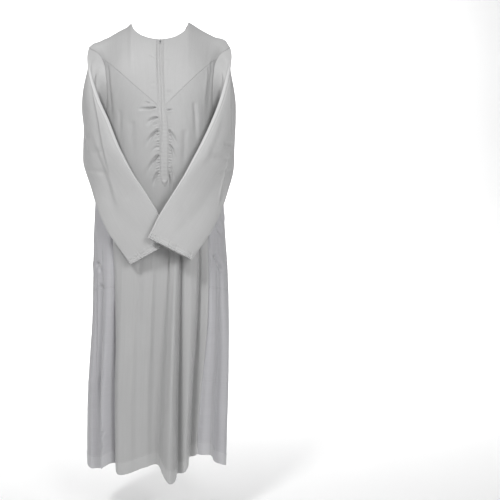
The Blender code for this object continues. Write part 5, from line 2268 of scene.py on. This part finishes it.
@dataclass
class Studio:
    """Pale floor and backdrop, soft lights and the camera."""

    floor_z: float = -1.60
    half_width: float = 9.0
    front_y: float = -7.0
    back_y: float = 7.5
    curve: float = 2.5
    curve_steps: int = 12
    wall_height: float = 7.0
    floor: PlainFinish = PlainFinish(
        "pale_floor", (0.93, 0.93, 0.93, 1.0), (0.95, 0.95, 0.95, 1.0), 0.5, 0.8
    )
    air_strength: float = 0.20
    lamps: tuple[Lamp, ...] = (
        Lamp("key_light", (-1.5, -2.3, 1.9), 0.6, 60.0, (0.0, 0.0, -0.6)),
        Lamp("fill_light", (1.0, -2.2, 0.25), 1.0, 25.0, (0.0, 0.0, -0.45)),
        Lamp("wall_light", (0.0, 2.9, 2.4), 3.0, 430.0, (0.0, 6.0, -0.9)),
    )
    camera_place: tuple[float, float, float] = (0.0, -2.5, -0.45)
    camera_pitch: float = 6.03
    lens: float = 56.0
    sensor: float = 36.0
    shift_x: float = 0.181

    def backdrop(self) -> None:
        """Builds the floor, which curves up into a wall far behind."""
        bend_y = self.back_y - self.curve
        profile = [(self.front_y, self.floor_z), (bend_y, self.floor_z)]
        for k in range(1, self.curve_steps + 1):
            a = 0.5 * math.pi * k / self.curve_steps
            rise = self.curve * (1 - math.cos(a))
            profile.append((bend_y + self.curve * math.sin(a), self.floor_z + rise))
        profile.append((self.back_y, self.floor_z + self.wall_height))
        sides = (-self.half_width, self.half_width)
        points = np.array([(x, y, z) for y, z in profile for x in sides])
        faces = [[2 * k, 2 * k + 1, 2 * k + 3, 2 * k + 2] for k in range(len(profile) - 1)]
        mesh_object("floor", points, faces, self.floor.material())

    def light(self, lamp: Lamp) -> None:
        """Adds one soft square light.

        Args:
            lamp: What the light is like.
        """
        data = bpy.data.lights.new(lamp.name, "AREA")
        data.shape, data.size, data.energy = "SQUARE", lamp.size, lamp.power
        made = bpy.data.objects.new(lamp.name, data)
        made.location = lamp.place
        made.rotation_mode = "QUATERNION"
        made.rotation_quaternion = (Vector(lamp.aim) - Vector(lamp.place)).to_track_quat("-Z", "Y")
        bpy.context.scene.collection.objects.link(made)

    def air(self) -> None:
        """Fills the studio with an even white light."""
        world = bpy.data.worlds.new("studio_air")
        world.use_nodes = True
        shader = world.node_tree.nodes["Background"]
        shader.inputs["Color"].default_value = (1.0, 1.0, 1.0, 1.0)
        shader.inputs["Strength"].default_value = self.air_strength
        bpy.context.scene.world = world
        bpy.context.scene.view_settings.view_transform = "Standard"

    def camera(self) -> None:
        """Places the camera in front of the robe."""
        data = bpy.data.cameras.new("camera")
        data.lens, data.sensor_width, data.shift_x = self.lens, self.sensor, self.shift_x
        made = bpy.data.objects.new("camera", data)
        made.location = self.camera_place
        made.rotation_euler = (math.radians(90.0 - self.camera_pitch), 0.0, 0.0)
        bpy.context.scene.collection.objects.link(made)
        bpy.context.scene.camera = made

    def build(self) -> None:
        """Builds the whole studio."""
        self.backdrop()
        for lamp in self.lamps:
            self.light(lamp)
        self.air()
        self.camera()


def grey(level: float, blue: float | None = None) -> Colour:
    """Opaque grey, with its own blue where that is given."""
    return level, level, level if blue is None else blue, 1.0


def make_kit() -> Kit:
    """Makes every finish once.

    Returns:
        The finishes and the thread.
    """
    main = ClothFinish("main_suiting", (0.43, 0.431, 0.431, 1.0), (0.52, 0.521, 0.521, 1.0))
    # Painted sheen: the gores get a cooler, lighter grey that stands in for the different sheen of
    # the same cloth cut across the grain.
    gore_colours_with_painted_sheen = (0.455, 0.453, 0.472, 1.0), (0.545, 0.543, 0.565, 1.0)
    cotton = PlainFinish("pocket_cotton", grey(0.60, 0.59), grey(0.68, 0.67), 0.0012, 0.85)
    metal = PlainFinish("zip_metal", grey(0.45, 0.46), grey(0.60, 0.61), 0.002, 0.35, 1.0)
    return Kit(
        main=main.material(),
        yoke=ClothFinish("yoke_suiting", grey(0.46), grey(0.55)).material(),
        sleeve=ClothFinish("sleeve_suiting", grey(0.47), grey(0.56)).material(),
        gore=ClothFinish("gore_suiting_with_painted_sheen", *gore_colours_with_painted_sheen, Grain.ACROSS).material(),
        cotton=cotton.material(),
        # Painted shade: the thread is darker than the cloth, standing in for the shade in and
        # beside its stitch holes; it is sewn in the cloth's own colour.
        thread=PlainFinish("thread", grey(0.20), grey(0.28), 0.0006, 0.6).material(),
        metal=metal.material(),
    )


def write_sizes() -> None:
    """Updates the view layer."""
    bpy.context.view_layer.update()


def main() -> None:
    """Builds the robe, piece by piece, and the studio round it."""
    logging.basicConfig(level=logging.INFO, format="%(name)s %(message)s")
    body, kit = Body(), make_kit()
    front = Front(body)
    front.panel(kit)
    for side in Side:
        front.yoke(side, kit)
        Gore(body, side, Seam.FRONT, Seam.SIDE).build(kit)
        Gore(body, side, Seam.SIDE, Seam.BACK).build(kit)
    Back(body).build(kit)
    Fly(body).build(kit)
    Sleeve(body, Side.LEFT, LEFT_RINGS, LEFT_FURROWS, LEFT_DRAGS).build(kit)
    Sleeve(body, Side.RIGHT, RIGHT_RINGS, RIGHT_FURROWS, RIGHT_DRAGS).build(kit)
    Pockets().dress(kit)
    Studio().build()
    write_sizes()


if __name__ == "__main__":
    main()
